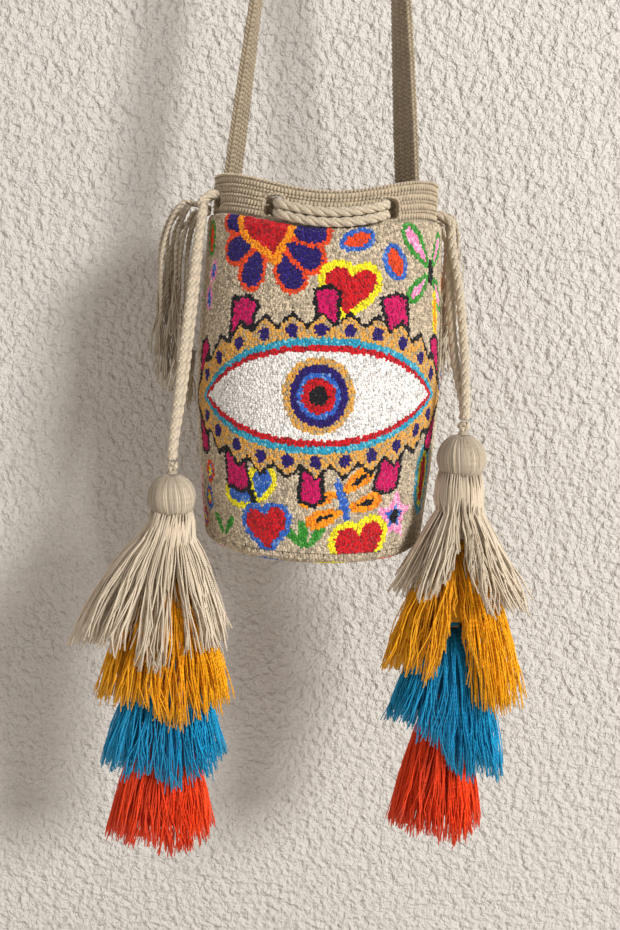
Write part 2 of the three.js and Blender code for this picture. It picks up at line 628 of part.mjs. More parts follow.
function tasselPieces({ bead, skirts, firstSpread }) {
  const boreZ = Math.sqrt(beadRadius ** 2 - beadBore ** 2) - 0.4;
  const boreRings = [roundRing(bead, beadBore, boreZ), roundRing(bead, beadBore, -boreZ)];
  const woodBead = loft([...ballRings(bead, beadRadius), ...boreRings], true);
  const knot = new THREE.SphereGeometry(knotRadius, 10, 6).rotateX(Math.PI / 2);
  const coreTop = ballRadius, coreEnd = skirts.red.top - 0.8 * headLength;
  const core = new THREE.CylinderGeometry(coreRadius, coreRadius, coreTop - coreEnd, 8);
  core.rotateX(Math.PI / 2).translate(bead.x, bead.y, bead.z + (coreTop + coreEnd) / 2);
  const pieces = {
    knot: knot.translate(bead.x, bead.y, bead.z + knotAboveBead),
    bead: woodBead,
    core_cord: core,
    beige_tier: beadTier(bead, skirts.beige, firstSpread),
    beige_tie: tieAt(bead, -ballRadius - 1.5),
  };
  for (const colour of ["yellow", "teal", "red"]) {
    pieces[`${colour}_tier`] = plainTier(bead, skirts[colour]);
    pieces[`${colour}_tie`] = tieAt(bead, skirts[colour].top - headLength / 2);
  }
  return pieces;
}

// Two cords hang from one pivot, side by side, and meet again on the tassel's knot.
function hangingPair(exit, { bead }, bows) {
  const pivot = pivotOf(exit);
  const knot = bead.clone();
  knot.z += knotAboveBead + knotRadius + 1.5 * seatGap;
  return [-1, 1].map((side, i) => {
    const apart = new THREE.Vector3(0, side * stackRise, 0);
    const start = pivot.clone().add(apart), finish = knot.clone().add(apart);
    const between = (t, bow) => {
      const place = start.clone().lerp(finish, t);
      place.x += bow;
      return place;
    };
    const last = finish.clone().add(new THREE.Vector3(0, 0, 2 * cordRadius));
    const route = [start, between(0.08, 0), between(0.35, bows[i]), between(0.7, bows[i]), last];
    return hangingCord([...route, finish]);
  });
}

// Materials

const yarn = (color, roughness = 0.95) => new THREE.MeshStandardMaterial({ color, roughness, metalness: 0 });
const colours = {
  beige: yarn("#b7a78e"), rim: yarn("#b09f87"), cord: yarn("#bdae97"), wood: yarn("#c9a876", 0.7),
  black: yarn("#121018"), white: yarn("#d9d6d2"), red: yarn("#b81320"), magenta: yarn("#b3004f"),
  turquoise: yarn("#1c87a6"), gold: yarn("#c29347"), navy: yarn("#22135c"), blue: yarn("#2f62b8"),
  yellow: yarn("#f0a21c"), teal: yarn("#1580a8"), scarlet: yarn("#e04a1c"), sand: yarn("#c4b59c"),
};
const fieldColour = {
  wall_pile_ground: "beige", outline_black: "black", gold_band: "gold", line_turquoise: "turquoise",
  line_red: "red", eye_white: "white", pupil_black: "black", iris_red: "red", iris_blue: "blue",
  iris_navy: "navy", iris_gold: "gold",
};
const tierColour = {
  knot: "cord", bead: "wood", core_cord: "cord", beige_tier: "sand", beige_tie: "cord", yellow_tier: "yellow",
  yellow_tie: "gold", teal_tier: "teal", teal_tie: "gold", red_tier: "scarlet", red_tie: "gold",
};

// Assembly

const bag = new THREE.Group();
bag.position.set(0, -strapBack, -(rimZ + strapRise));

function add(name, geometry, colour) {
  const mesh = new THREE.Mesh(geometry, colours[colour]);
  mesh.name = name;
  bag.add(mesh);
}

add("crochet_bucket", crochetBucket(), "rim");
add("base_pile", basePile(), "beige");
for (const [name, solid] of Object.entries(tuftedFields())) {
  const colour = fieldColour[name] ?? (name.startsWith("block") ? "magenta" : "red");
  add(name, toGeometry(solid), colour);
}
add("shoulder_strap", shoulderStrap(), "cord");
add("strap_fringe_left", strapFringe(leftFringeAngle, leftFringe), "cord");
add("strap_fringe_right", strapFringe(rightFringeAngle, rightFringe), "cord");
add("left_drawstring", neckDrawstring(leftExit), "cord");
add("right_drawstring", neckDrawstring(rightExit), "cord");

const sides = [["left", leftExit, leftTassel, [-1, 1]], ["right", rightExit, rightTassel, [3, -3]]];
for (const [side, exit, tassel, bows] of sides) {
  const [front, back] = hangingPair(exit, tassel, bows);
  add(`${side}_cord_front`, front, "cord");
  add(`${side}_cord_back`, back, "cord");
  for (const [name, geometry] of Object.entries(tasselPieces(tassel))) {
    add(`${side}_${name}`, geometry, tierColour[name]);
  }
}

export default bag;
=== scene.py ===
# The looks of a crocheted mochila bucket bag with a tufted pile wall, hung by its woven strap.
# Lengths in the tables are millimetres, measured as in the part's source. Pieces are in metres.
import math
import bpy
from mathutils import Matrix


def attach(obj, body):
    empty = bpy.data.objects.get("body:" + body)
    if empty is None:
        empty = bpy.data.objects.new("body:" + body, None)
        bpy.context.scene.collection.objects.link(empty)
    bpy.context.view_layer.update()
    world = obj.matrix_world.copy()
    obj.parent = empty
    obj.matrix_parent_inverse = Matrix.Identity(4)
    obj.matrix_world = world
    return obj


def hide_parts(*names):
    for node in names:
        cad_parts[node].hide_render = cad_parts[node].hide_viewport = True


bl_info = {
    "name": "Mochila bag",
    "version": (1, 0, 0),
    "blender": (4, 5, 0),
    "location": "3D View > Sidebar > Mochila",
    "description": "Dresses the packed mochila bag with pile, crochet, cords and tassels of yarn",
    "category": "Object",
}

import bpy
import numpy as np
from bpy.props import FloatProperty, FloatVectorProperty, IntProperty, PointerProperty
from mathutils import Matrix

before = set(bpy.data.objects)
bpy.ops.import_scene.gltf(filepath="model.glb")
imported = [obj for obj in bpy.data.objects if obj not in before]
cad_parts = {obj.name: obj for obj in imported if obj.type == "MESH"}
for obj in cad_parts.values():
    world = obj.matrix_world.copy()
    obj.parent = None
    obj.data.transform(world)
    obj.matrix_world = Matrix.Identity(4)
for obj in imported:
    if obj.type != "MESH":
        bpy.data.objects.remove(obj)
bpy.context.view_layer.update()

MM = 0.001
BAG_ORIGIN = np.array([0.0, -18.0, -784.0])  # the middle of the base in the frame

# Bag wall: half sizes of the crochet's outer face at heights over the base seam.
WALL_STATIONS = [0.0, 115.0, 235.0, 271.0]
HALF_WIDTHS = [83.0, 91.0, 85.6, 84.4]
HALF_DEPTHS = [80.0, 82.0, 64.0, 60.0]
WALL_HEIGHT = 271.0
RIM_SAG, SAG_POWER = 15.0, 4
BASE_DROP = 13.0
WALL_THICKNESS = 3.0
PILE_OUTER = 4.8  # of the pile's face outside the crochet
PILE_TOP = 242.0
RIB_COUNT, RIB_PITCH, RIB_DEPTH = 4, 7.0, 1.1

# Eye pattern on the pile. A place is s, the way round the belly, and h, the height over the seam.
PATTERN_RADIUS = 95.8
HALF_ROUND = math.pi * PATTERN_RADIUS
EYE_HEIGHT, EYE_LEAN, EYE_DROOP = 116.0, 3.6, 4.5
LENS_POWER, BAND_POWER = 2.15, 2.6
WHITE, RED_LINE, TURQUOISE_LINE, GOLD_BAND = (99, 32.5), (103.8, 37.3), (109.1, 42.6), (128.6, 54.6)
ZIGZAG, ZIGZAG_STEP, OUTLINE_WIDTH = 4.8, 21.2, 3.0
IRIS = [(26.0, "gold"), (20.8, "navy"), (15.6, "blue"), (12.0, "red"), (6.8, "black")]
IRIS_TALL = 1.1
BLOCK_PLACES = {1: [-0.87, -0.5, 0.03, 0.47, 0.86], -1: [-0.87, -0.52, -0.025, 0.475, 0.87]}
BLOCK_WIDTHS, BLOCK_LENGTH = [13, 21.5, 15.5, 21, 13], 25.0
DOT_PLACES, DOT_SIZE = [-102, -85, -64, -42, -21, 0, 21, 42, 64, 85, 102], (4.4, 4.9)

# Cords and eyelets.
EYELET_AT = 253.0
EYELET_ANGLES = [-71.9, -26.0, 32.0, 85.1, 154.0, 212.0]
EYELET_WIDTH, EYELET_HEIGHT = 21.0, 17.8
STACK_RISE = 3.5
EXIT_REACH, EXIT_DROP = 12.0, 12.0
CROSSING_SPAN, CROSSING_SAG, FRONT_EYELET, FRONT_TURN, TURN_IN = 5.6, 3.4, 29.0, 3.0, 11.0

# Strap and fringe.
STRAP_WIDTH, STRAP_THICKNESS, STRAP_RISE, STRAP_SEWN, STRAP_BACK = 24.0, 6.0, 500.0, 42.0, 18.0
CROWN_RADIUS, STRAP_BULGE = 15.0, 1.0
STRAP_ANGLES, STRAP_TWISTS = {"left": -103.0, "right": 121.0}, {"left": 2.4, "right": 1.5}
FRINGE_KNOT_RADIUS = 5.0
FRINGE_ROOTS = [(-2.3, 2.2), (2.3, 2.2), (-2.3, -1.8), (2.3, -1.8), (0, -4.6)]
FRINGES = {
    "left": (-90.0, [(33, -14, -38), (36, 0, -66), (24, -16, -80), (19, 8, -96), (11, -4, -112)]),
    "right": (103.0, [(14, -10, -28), (18, 12, -46), (12, -4, -64), (16, 8, -84)]),
}
FRINGE_EXTRA = {
    "left": [(28, -8, -50), (34, 6, -84), (17, -10, -102), (14, 4, -76), (30, -4, -96), (22, 10, -58)],
    "right": [(9, 2, -50)],
}
FRAY_LENGTH = {"left": 0.044, "right": 0.046}

# Tassels, measured from the middle of the bead.
BEAD_RADIUS, BALL_RADIUS, NECK_RADIUS, HEAD_RADIUS, HEAD_LENGTH = 14.5, 18.0, 5.8, 7.5, 14.0
KNOT_RADIUS, KNOT_ABOVE = 5.2, 23.5
TIE_RADIUS, SEAT_GAP = 1.1, 0.3
DEPTH_SHARE, PARTING_WIDTH = 0.72, 15.0
# Top, bottom, half width, shift, hem, parting and slant, as shares of the bead's radius, and the power
# of the spread.
TASSELS = {
    "left": {
        "bead": (-107.4, -50, 42.9),
        "bows": (-1, 1),
        "tiers": {
            "beige": (-12.5 / 14.5, -8.1, 4.8, (-1.05, -0.2), 0.34, 0, 0, 0.6),
            "yellow": (-3.8, -11.5, 4.0, (-0.28, -0.28), 0.28, 0, 0.25, 0.5),
            "teal": (-7.9, -14.9, 3.7, (-0.14, -0.28), 0.28, 0, 0, 0.5),
            "red": (-11.5, -18.9, 3.05, (-0.28, -0.28), 0.2, 0, 0, 0.5),
        },
    },
    "right": {
        "bead": (107.8, -57, 82.2),
        "bows": (3, -3),
        "tiers": {
            "beige": (-12.5 / 14.5, -7.8, 4.4, (0.2, -0.4), 0.28, 3.0, 0.4, 0.95),
            "yellow": (-4.3, -13.3, 4.4, (0.1, -0.34), 0.4, 5.2, 1.0, 0.5),
            "teal": (-8.4, -17.2, 3.8, (-0.2, -0.34), 0.34, 0, 1.6, 0.5),
            "red": (-12.5, -20.1, 2.6, (-0.24, -0.34), 0.2, 0, 0, 0.5),
        },
    },
}
TIER_KEYS = ("top", "bottom", "half", "shift", "hem", "parting", "slant")


def tier_sizes(shares):
    """A tier's sizes in millimetres."""
    sizes = {key: np.multiply(share, BEAD_RADIUS) for key, share in zip(TIER_KEYS, shares)}
    neck = sizes["top"] - HEAD_LENGTH / 2
    return {**sizes, "neck": neck, "foot": neck - TIE_RADIUS - SEAT_GAP, "power": shares[-1]}


def linear(code):
    """A colour of six hex digits, as linear light."""
    values = [int(code[i : i + 2], 16) / 255 for i in (0, 2, 4)]
    return tuple(v / 12.92 if v <= 0.04045 else ((v + 0.055) / 1.055) ** 2.4 for v in values)


def colour_prop(name, code, description):
    return FloatVectorProperty(
        name=name, description=description, subtype="COLOR", size=3, min=0, max=1, default=linear(code)
    )


def length_prop(name, value, description):
    return FloatProperty(
        name=name, description=description, default=value, min=0, precision=5,
        subtype="DISTANCE", unit="LENGTH",
    )


class MochilaPile(bpy.types.PropertyGroup):
    """Sizes of the tufted pile."""

    spacing: length_prop("Tuft spacing", 0.00184, "Distance between neighbouring tufts")
    width: length_prop("Tuft width", 0.0035, "Width of one tuft")
    height: length_prop("Tuft height", 0.0024, "Height of one tuft")
    tilt: FloatProperty(
        name="Tuft tilt", description="Most that a tuft leans", default=math.radians(12), subtype="ANGLE"
    )
    seed: IntProperty(name="Seed", description="Seed for the tufts' places and lean", default=7)


class MochilaCrochet(bpy.types.PropertyGroup):
    """Sizes of the crochet, strap and cords."""

    stitch: length_prop("Rim stitch", 0.0028, "Pitch of the crochet stitches along a row of the rim")
    braid: length_prop("Braid stitch", 0.0033, "Pitch of the strap's stitches along it")
    braid_columns: IntProperty(
        name="Braid columns", description="Columns of stitches across the strap", default=7
    )
    cord: length_prop("Cord", 0.0072, "Diameter of the twisted drawstrings")
    cord_pitch: length_prop("Cord pitch", 0.025, "Length in which a ply of a drawstring goes round once")
    fringe: length_prop("Fringe cord", 0.0036, "Diameter of the fringe's twisted cords")


class MochilaTassels(bpy.types.PropertyGroup):
    """Amounts and sizes of the tassels' yarn."""

    beige_strands: IntProperty(name="Beige strands", description="Yarns in a first tier", default=430)
    colour_strands: IntProperty(
        name="Coloured strands", description="Yarns in each coloured tier", default=720
    )
    beige_yarn: length_prop("Beige yarn", 0.0014, "Diameter of the first tier's yarn")
    colour_yarn: length_prop("Coloured yarn", 0.0010, "Diameter of the coloured tiers' yarn")
    seed: IntProperty(name="Seed", description="Seed for the yarns' places", default=11)


class MochilaColours(bpy.types.PropertyGroup):
    """Colours of the yarns."""

    ground: colour_prop("Ground", "bdae97", "Speckled beige of the pile's ground")
    rim: colour_prop("Crochet", "c2b299", "Crocheted rim rows and lining")
    strap: colour_prop("Strap", "ac9c84", "Woven strap")
    cord: colour_prop("Cord", "cdbfa9", "Twisted drawstrings and fringe")
    black: colour_prop("Black", "0f0d14", "Outlines and pupil")
    white: colour_prop("White", "eceae8", "White of the eye")
    red: colour_prop("Red", "c8121f", "Red lines and hearts")
    magenta: colour_prop("Magenta", "cc0663", "Blocks round the eye")
    turquoise: colour_prop("Turquoise", "2799bb", "Turquoise lines")
    gold: colour_prop("Gold", "dba44c", "Band round the eye")
    navy: colour_prop("Navy", "21105f", "Dots and petals")
    blue: colour_prop("Blue", "2f62bd", "Blue outlines and iris")
    yellow: colour_prop("Yellow", "f1e523", "Yellow outlines")
    amber: colour_prop("Amber", "f59a14", "Amber outlines")
    orange: colour_prop("Orange", "e64a1e", "Orange-red outlines")
    green: colour_prop("Green", "2f8a29", "Leaves")
    pink: colour_prop("Pink", "ee8cbb", "Pink petals")
    sand: colour_prop("Sand tassel", "e2d3bd", "First tier of a tassel")
    sun: colour_prop("Yellow tassel", "ffb400", "Second tier of a tassel")
    teal: colour_prop("Teal tassel", "0aa0d4", "Third tier of a tassel")
    scarlet: colour_prop("Scarlet tassel", "ff4a10", "Fourth tier of a tassel")
    thread: colour_prop("Gold thread", "c99b45", "Binding of the coloured tiers")
    wood: colour_prop("Wood", "c9a876", "Bead inside a tassel's ball")


class MochilaStage(bpy.types.PropertyGroup):
    """The wall, floor and lamps."""

    wall: colour_prop("Wall", "dddad5", "Plaster behind the bag")
    floor: colour_prop("Floor", "d8d5d0", "Floor")
    key: FloatProperty(name="Key lamp", description="Power of the key lamp", default=168, subtype="POWER")
    fill: FloatProperty(name="Fill lamp", description="Power of the fill lamp", default=4, subtype="POWER")
    back: FloatProperty(
        name="Back lamp", description="Power of the lamp behind the bag", default=8, subtype="POWER"
    )
    world: FloatProperty(name="World", description="Strength of the world's light", default=0.3)


# Curves and surfaces


def station_curve(values):
    """A smooth curve through values at the wall's stations, as in the part's source."""
    stations, last = WALL_STATIONS, len(WALL_STATIONS) - 1

    def curve(height):
        height = np.clip(np.asarray(height, float), 0, WALL_HEIGHT)
        result = np.zeros_like(height)
        span = np.clip(np.searchsorted(stations, height, side="right"), 1, last)
        for i in range(1, last + 1):
            t0, t1 = stations[i - 1], stations[i]
            before = i - 2 if i > 1 else i
            after = i + 1 if i < last else i - 1
            half = (t1 - t0) / 2
            wp, wn = half / (t0 - stations[before]), half / (stations[after] - t1)
            here = span == i
            p = (height[here] - t0) / (t1 - t0)
            result[here] = (
                (-wp * p**3 + 2 * wp * p**2 - wp * p) * values[before]
                + ((1 + wp) * p**3 + (-1.5 - 2 * wp) * p**2 + (-0.5 + wp) * p + 1) * values[i - 1]
                + ((-1 - wn) * p**3 + (1.5 + wn) * p**2 + 0.5 * p) * values[i]
                + (wn * p**3 - wn * p**2) * values[after]
            )
        return result

    return curve


half_width = station_curve(HALF_WIDTHS)
half_depth = station_curve(HALF_DEPTHS)


def wall_point(angle, height, out):
    """Points on the wall, in the bag's own millimetres. Angles are radians from the front."""
    angle, height, out = np.broadcast_arrays(np.asarray(angle, float), np.asarray(height, float), out)
    x = (half_width(height) + out) * np.sin(angle)
    y = -(half_depth(height) + out) * np.cos(angle)
    z = BASE_DROP + height - RIM_SAG * np.cos(angle) ** SAG_POWER * (height / WALL_HEIGHT) ** 2
    return np.stack([x, y, z], -1)


def unit(v):
    return v / np.maximum(np.linalg.norm(v, axis=-1, keepdims=True), 1e-9)


def flat_normal(angle, height):
    """The wall's normal seen from above, as in the part's source."""
    angle = np.asarray(angle, float)
    v = np.stack([np.sin(angle) / half_width(height), -np.cos(angle) / half_depth(height), 0 * angle], -1)
    return unit(v)


def wall_frame(angle, height):
    """Along, up and outward directions of the wall's face."""
    a = wall_point(angle + 0.004, height, 0) - wall_point(angle - 0.004, height, 0)
    u = wall_point(angle, height + 0.5, 0) - wall_point(angle, height - 0.5, 0)
    normal = unit(np.cross(a, u))
    return unit(a), unit(u), normal


def to_frame(points):
    return (np.asarray(points, float) + BAG_ORIGIN) * MM


def smoothstep(t):
    t = np.clip(t, 0, 1)
    return t * t * (3 - 2 * t)


def smooth_path(points, step):
    """The centripetal curve through the points, in even steps of about this length."""
    p = [np.asarray(q, float) for q in points]
    p = [2 * p[0] - p[1]] + p + [2 * p[-1] - p[-2]]
    line = []
    for k in range(1, len(p) - 2):
        x0, x1, x2, x3 = p[k - 1], p[k], p[k + 1], p[k + 2]
        d1 = max(np.linalg.norm(x2 - x1) ** 0.5, 1e-4)
        d0 = max(np.linalg.norm(x1 - x0) ** 0.5, 1e-4)
        d2 = max(np.linalg.norm(x3 - x2) ** 0.5, 1e-4)
        m1 = ((x1 - x0) / d0 - (x2 - x0) / (d0 + d1) + (x2 - x1) / d1) * d1
        m2 = ((x2 - x1) / d1 - (x3 - x1) / (d1 + d2) + (x3 - x2) / d2) * d1
        w = np.linspace(0, 1, 24, endpoint=False)[:, None]
        line.append(x1 + m1 * w + (3 * x2 - 3 * x1 - 2 * m1 - m2) * w**2 + (2 * x1 - 2 * x2 + m1 + m2) * w**3)
    line = np.concatenate(line + [p[-2][None]])
    return even_steps(line, step)


def even_steps(line, step):
    away = np.concatenate([[0], np.cumsum(np.linalg.norm(np.diff(line, axis=0), axis=1))])
    count = max(4, int(round(away[-1] / step)) + 1)
    at = np.linspace(0, away[-1], count)
    return np.stack([np.interp(at, away, line[:, i]) for i in range(3)], -1)


def path_frames(line, start=(0.0, 1.0, 0.0)):
    """Tangents and two crossing directions that don't twist along the line."""
    tangent = unit(np.gradient(line, axis=0))
    side = np.zeros_like(line)
    current = np.array(start, float)
    for i, t in enumerate(tangent):
        current = current - t * current.dot(t)
        if np.linalg.norm(current) < 1e-6:
            current = np.cross(t, [0.3, 0.5, 0.8])
        current = current / np.linalg.norm(current)
        side[i] = current
    return tangent, side, np.cross(tangent, side)


# Meshes


def mesh_piece(name, vertices, faces, material=None, attributes=None, smooth=True):
    """An object from points in metres. faces is a list of arrays of one width each."""
    mesh = bpy.data.meshes.new(name)
    lists = []
    for block in faces:
        lists.extend(np.asarray(block).tolist())
    mesh.from_pydata(np.asarray(vertices, float).tolist(), [], lists)
    if smooth:
        mesh.polygons.foreach_set("use_smooth", np.ones(len(mesh.polygons), bool))
    for key, values in (attributes or {}).items():
        put_attribute(mesh, key, values)
    mesh.update()
    piece = bpy.data.objects.new(name, mesh)
    bpy.context.scene.collection.objects.link(piece)
    if material:
        mesh.materials.append(material)
    return piece


def put_attribute(mesh, key, values):
    values = np.asarray(values, np.float32)
    if values.ndim == 2:
        mesh.attributes.new(key, "FLOAT_VECTOR", "POINT").data.foreach_set("vector", values.ravel())
    else:
        mesh.attributes.new(key, "FLOAT", "POINT").data.foreach_set("value", values)


def tubes(paths, radius, sides, reference, turn=0.0):
    """Closed tubes along many lines of as many points. Gives vertices, faces and attributes."""
    paths = np.asarray(paths, float)
    count, steps, _ = paths.shape
    tangent = unit(np.gradient(paths, axis=1))
    side = reference - tangent * (reference * tangent).sum(-1, keepdims=True)
    side = unit(side)
    other = np.cross(tangent, side)
    a = 2 * np.pi * np.arange(sides) / sides + turn
    radius = np.broadcast_to(np.asarray(radius, float), (count, steps))[..., None, None]
    ring = side[:, :, None] * np.cos(a)[:, None] + other[:, :, None] * np.sin(a)[:, None]
    vertices = (paths[:, :, None] + radius * ring).reshape(-1, 3)
    k, j, i = np.meshgrid(np.arange(sides), np.arange(steps - 1), np.arange(count), indexing="ij")
    base = (i * steps + j) * sides
    after = (k + 1) % sides
    quads = np.stack([base + k, base + after, base + sides + after, base + sides + k], -1).reshape(-1, 4)
    first = (np.arange(count) * steps * sides)[:, None]
    caps = [first + np.arange(sides)[::-1], first + (steps - 1) * sides + np.arange(sides)]
    lengths = np.linalg.norm(np.diff(paths, axis=1), axis=2)
    away = np.concatenate([np.zeros((count, 1)), np.cumsum(lengths, axis=1)], 1)
    along = np.repeat(away.reshape(-1), sides)
    around = np.tile(np.arange(sides) / sides, count * steps)
    return vertices, [quads, *caps], along, around


def rope_parts(line, diameter, pitch, plies=3, sides=8, start=(0, 1, 0), phase=0.0):
    """Plies twisted round a line, in metres: vertices, faces and attributes."""
    _, side, other = path_frames(line, start)
    away = np.concatenate([[0], np.cumsum(np.linalg.norm(np.diff(line, axis=0), axis=1))])
    radius = diameter / 2
    ply = radius * (0.54 if plies == 3 else 0.6)
    orbit = radius - ply
    lines, refs = [], []
    for k in range(plies):
        turn = 2 * np.pi * (away / pitch + k / plies) + phase
        out = side * np.cos(turn)[:, None] + other * np.sin(turn)[:, None]
        lines.append(line + orbit * out)
        refs.append(out)
    return tubes(np.array(lines), ply, sides, np.array(refs))


def joined(parts):
    """Several (vertices, faces, along, around) as one."""
    vertices, faces, along, around, start = [], [], [], [], 0
    for v, f, a, b in parts:
        vertices.append(v)
        faces.extend([np.asarray(block) + start for block in f])
        along.append(a)
        around.append(b)
        start += len(v)
    return np.concatenate(vertices), faces, np.concatenate(along), np.concatenate(around)


def yarn_piece(name, parts, material, shade=None):
    vertices, faces, along, around = parts
    attributes = {"along": along, "around": around}
    attributes["shade"] = np.full(len(vertices), 0.5) if shade is None else shade
    return mesh_piece(name, vertices, faces, material, attributes)


def turns(along, normal):
    """Euler angles that lay X along one direction and Z on the other."""
    x = unit(along - normal * (along * normal).sum(-1, keepdims=True))
    y = np.cross(normal, x)
    return np.stack(
        [
            np.arctan2(y[..., 2], normal[..., 2]),
            -np.arcsin(np.clip(x[..., 2], -1, 1)),
            np.arctan2(x[..., 1], x[..., 0]),
        ],
        -1,
    )


# Geometry Nodes


def enabled(sockets, name):
    return next(s for s in sockets if s.name == name and s.enabled)


def scatter_tree():
    """Puts a small shape on every point, turned and sized by the points' own attributes."""
    tree = bpy.data.node_groups.get("yarn_scatter")
    if tree:
        return tree
    tree = bpy.data.node_groups.new("yarn_scatter", "GeometryNodeTree")
    new = tree.interface.new_socket
    new(name="Points", in_out="INPUT", socket_type="NodeSocketGeometry")
    new(name="Shape", in_out="INPUT", socket_type="NodeSocketObject")
    new(name="Size Spread", in_out="INPUT", socket_type="NodeSocketFloat")
    new(name="Tilt", in_out="INPUT", socket_type="NodeSocketFloat")
    new(name="Spin", in_out="INPUT", socket_type="NodeSocketFloat")
    new(name="Seed", in_out="INPUT", socket_type="NodeSocketInt")
    new(name="Material", in_out="INPUT", socket_type="NodeSocketMaterial")
    new(name="Yarn", in_out="OUTPUT", socket_type="NodeSocketGeometry")
    nodes, links = tree.nodes, tree.links
    source, sink = nodes.new("NodeGroupInput"), nodes.new("NodeGroupOutput")

    def attribute(name):
        node = nodes.new("GeometryNodeInputNamedAttribute")
        node.data_type = "FLOAT_VECTOR"
        node.inputs["Name"].default_value = name
        return enabled(node.outputs, "Attribute")

    def vector(operation, *values):
        node = nodes.new("ShaderNodeVectorMath")
        node.operation = operation
        for socket, value in zip(node.inputs, values):
            if isinstance(value, bpy.types.NodeSocket):
                links.new(value, socket)
            elif value is not None:
                socket.default_value = value
        return node

    def random(kind, low, high, salt):
        node = nodes.new("FunctionNodeRandomValue")
        node.data_type = kind
        enabled(node.inputs, "Min").default_value = low
        enabled(node.inputs, "Max").default_value = high
        add = nodes.new("ShaderNodeMath")
        add.inputs[1].default_value = salt
        links.new(source.outputs["Seed"], add.inputs[0])
        links.new(add.outputs[0], enabled(node.inputs, "Seed"))
        return enabled(node.outputs, "Value")

    lean = vector("MULTIPLY", random("FLOAT_VECTOR", (-1, -1, -1), (1, 1, 1), 1))
    amount = nodes.new("ShaderNodeCombineXYZ")
    for axis in "XY":
        links.new(source.outputs["Tilt"], amount.inputs[axis])
    links.new(source.outputs["Spin"], amount.inputs["Z"])
    links.new(amount.outputs[0], lean.inputs[1])
    base = nodes.new("FunctionNodeEulerToRotation")
    links.new(attribute("turn"), base.inputs[0])
    tilt = nodes.new("FunctionNodeEulerToRotation")
    links.new(lean.outputs[0], tilt.inputs[0])
    rotate = nodes.new("FunctionNodeRotateRotation")
    rotate.rotation_space = "LOCAL"
    links.new(base.outputs[0], rotate.inputs[0])
    links.new(tilt.outputs[0], rotate.inputs[1])

    spread = nodes.new("ShaderNodeMath")
    spread.operation = "MULTIPLY_ADD"
    links.new(random("FLOAT", -1.0, 1.0, 2), spread.inputs[0])
    links.new(source.outputs["Size Spread"], spread.inputs[1])
    spread.inputs[2].default_value = 1.0
    size = vector("SCALE", attribute("size"))
    links.new(spread.outputs[0], size.inputs["Scale"])

    shape = nodes.new("GeometryNodeObjectInfo")
    links.new(source.outputs["Shape"], shape.inputs["Object"])
    place = nodes.new("GeometryNodeInstanceOnPoints")
    links.new(source.outputs["Points"], place.inputs["Points"])
    links.new(shape.outputs["Geometry"], place.inputs["Instance"])
    links.new(rotate.outputs[0], place.inputs["Rotation"])
    links.new(size.outputs[0], place.inputs["Scale"])
    realize = nodes.new("GeometryNodeRealizeInstances")
    links.new(place.outputs[0], realize.inputs[0])
    dress = nodes.new("GeometryNodeSetMaterial")
    links.new(realize.outputs[0], dress.inputs["Geometry"])
    links.new(source.outputs["Material"], dress.inputs["Material"])
    links.new(dress.outputs[0], sink.inputs[0])
    return tree


def scatter(name, points, turn, size, shade, shape, material, tilt=0.0, spin=0.0, spread=0.1, seed=1):
    """A plain mesh of one small shape on every point."""
    count = len(points)
    size = np.broadcast_to(np.asarray(size, float), (count, 3))
    shade = np.broadcast_to(np.asarray(shade, float), (count,))
    seedbed = mesh_piece(name + "_points", points, [], None, {"turn": turn, "size": size, "shade": shade})
    tree = scatter_tree()
    modifier = seedbed.modifiers.new("scatter", "NODES")
    modifier.node_group = tree
    values = {
        "Shape": shape, "Size Spread": spread, "Tilt": tilt, "Spin": spin, "Seed": seed, "Material": material,
    }
    for socket in tree.interface.items_tree:
        if socket.item_type == "SOCKET" and socket.in_out == "INPUT" and socket.name in values:
            modifier[socket.identifier] = values[socket.name]
    bpy.context.view_layer.update()
    evaluated = seedbed.evaluated_get(bpy.context.evaluated_depsgraph_get())
    mesh = bpy.data.meshes.new_from_object(evaluated)
    mesh.name = name
    for key in ("turn", "size"):
        if key in mesh.attributes:
            mesh.attributes.remove(mesh.attributes[key])
    bpy.data.objects.remove(seedbed)
    piece = bpy.data.objects.new(name, mesh)
    bpy.context.scene.collection.objects.link(piece)
    if len(mesh.polygons) == 0:
        raise RuntimeError(f"{name} came out empty")
    return piece


def small_shape(name, rings, sides, twist=0.0):
    """A closed lump from rings of (height, radius), with a point at each end. Its length is along Z."""
    vertices, faces, depth = [], [], []
    low, high = rings[0][0], rings[-1][0]
    for z, r in rings[1:-1]:
        for k in range(sides):
            a = 2 * math.pi * (k + twist * len(vertices) / sides) / sides
            vertices.append((r * math.cos(a), r * math.sin(a), z))
    for r in range(len(rings) - 3):
        for k in range(sides):
            a, b = r * sides + k, r * sides + (k + 1) % sides
            faces.append((a, b, b + sides, a + sides))
    bottom, top = len(vertices), len(vertices) + 1
    vertices += [(0, 0, low), (0, 0, high)]
    last = (len(rings) - 3) * sides
    for k in range(sides):
        faces.append((bottom, (k + 1) % sides, k))
        faces.append((top, last + k, last + (k + 1) % sides))
    # depth runs from 0 at the shape's low end to 1 at its high end along Z; the yarn materials darken the
    # colour where it is low, as painted shade.
    depth = [(v[2] - low) / (high - low) for v in vertices]
    mesh = bpy.data.meshes.new(name)
    mesh.from_pydata(vertices, [], faces)
    mesh.polygons.foreach_set("use_smooth", np.ones(len(mesh.polygons), bool))
    put_attribute(mesh, "depth", depth)
    shape = bpy.data.objects.new(name, mesh)
    bpy.context.scene.collection.objects.link(shape)
    return shape


def tuft_shape():
    return small_shape("tuft_shape", [(-0.7, 0), (-0.08, 0.5), (0.3, 0)], 4)


def stitch_shape():
    """A stitch: a lump whose length is along X and whose back is in the plane."""
    shape = small_shape("stitch_shape", [(-0.5, 0), (-0.25, 0.48), (0.25, 0.48), (0.5, 0)], 4)
    shape.data.transform(Matrix.Rotation(math.pi / 2, 4, "Y"))
    return shape


# Materials


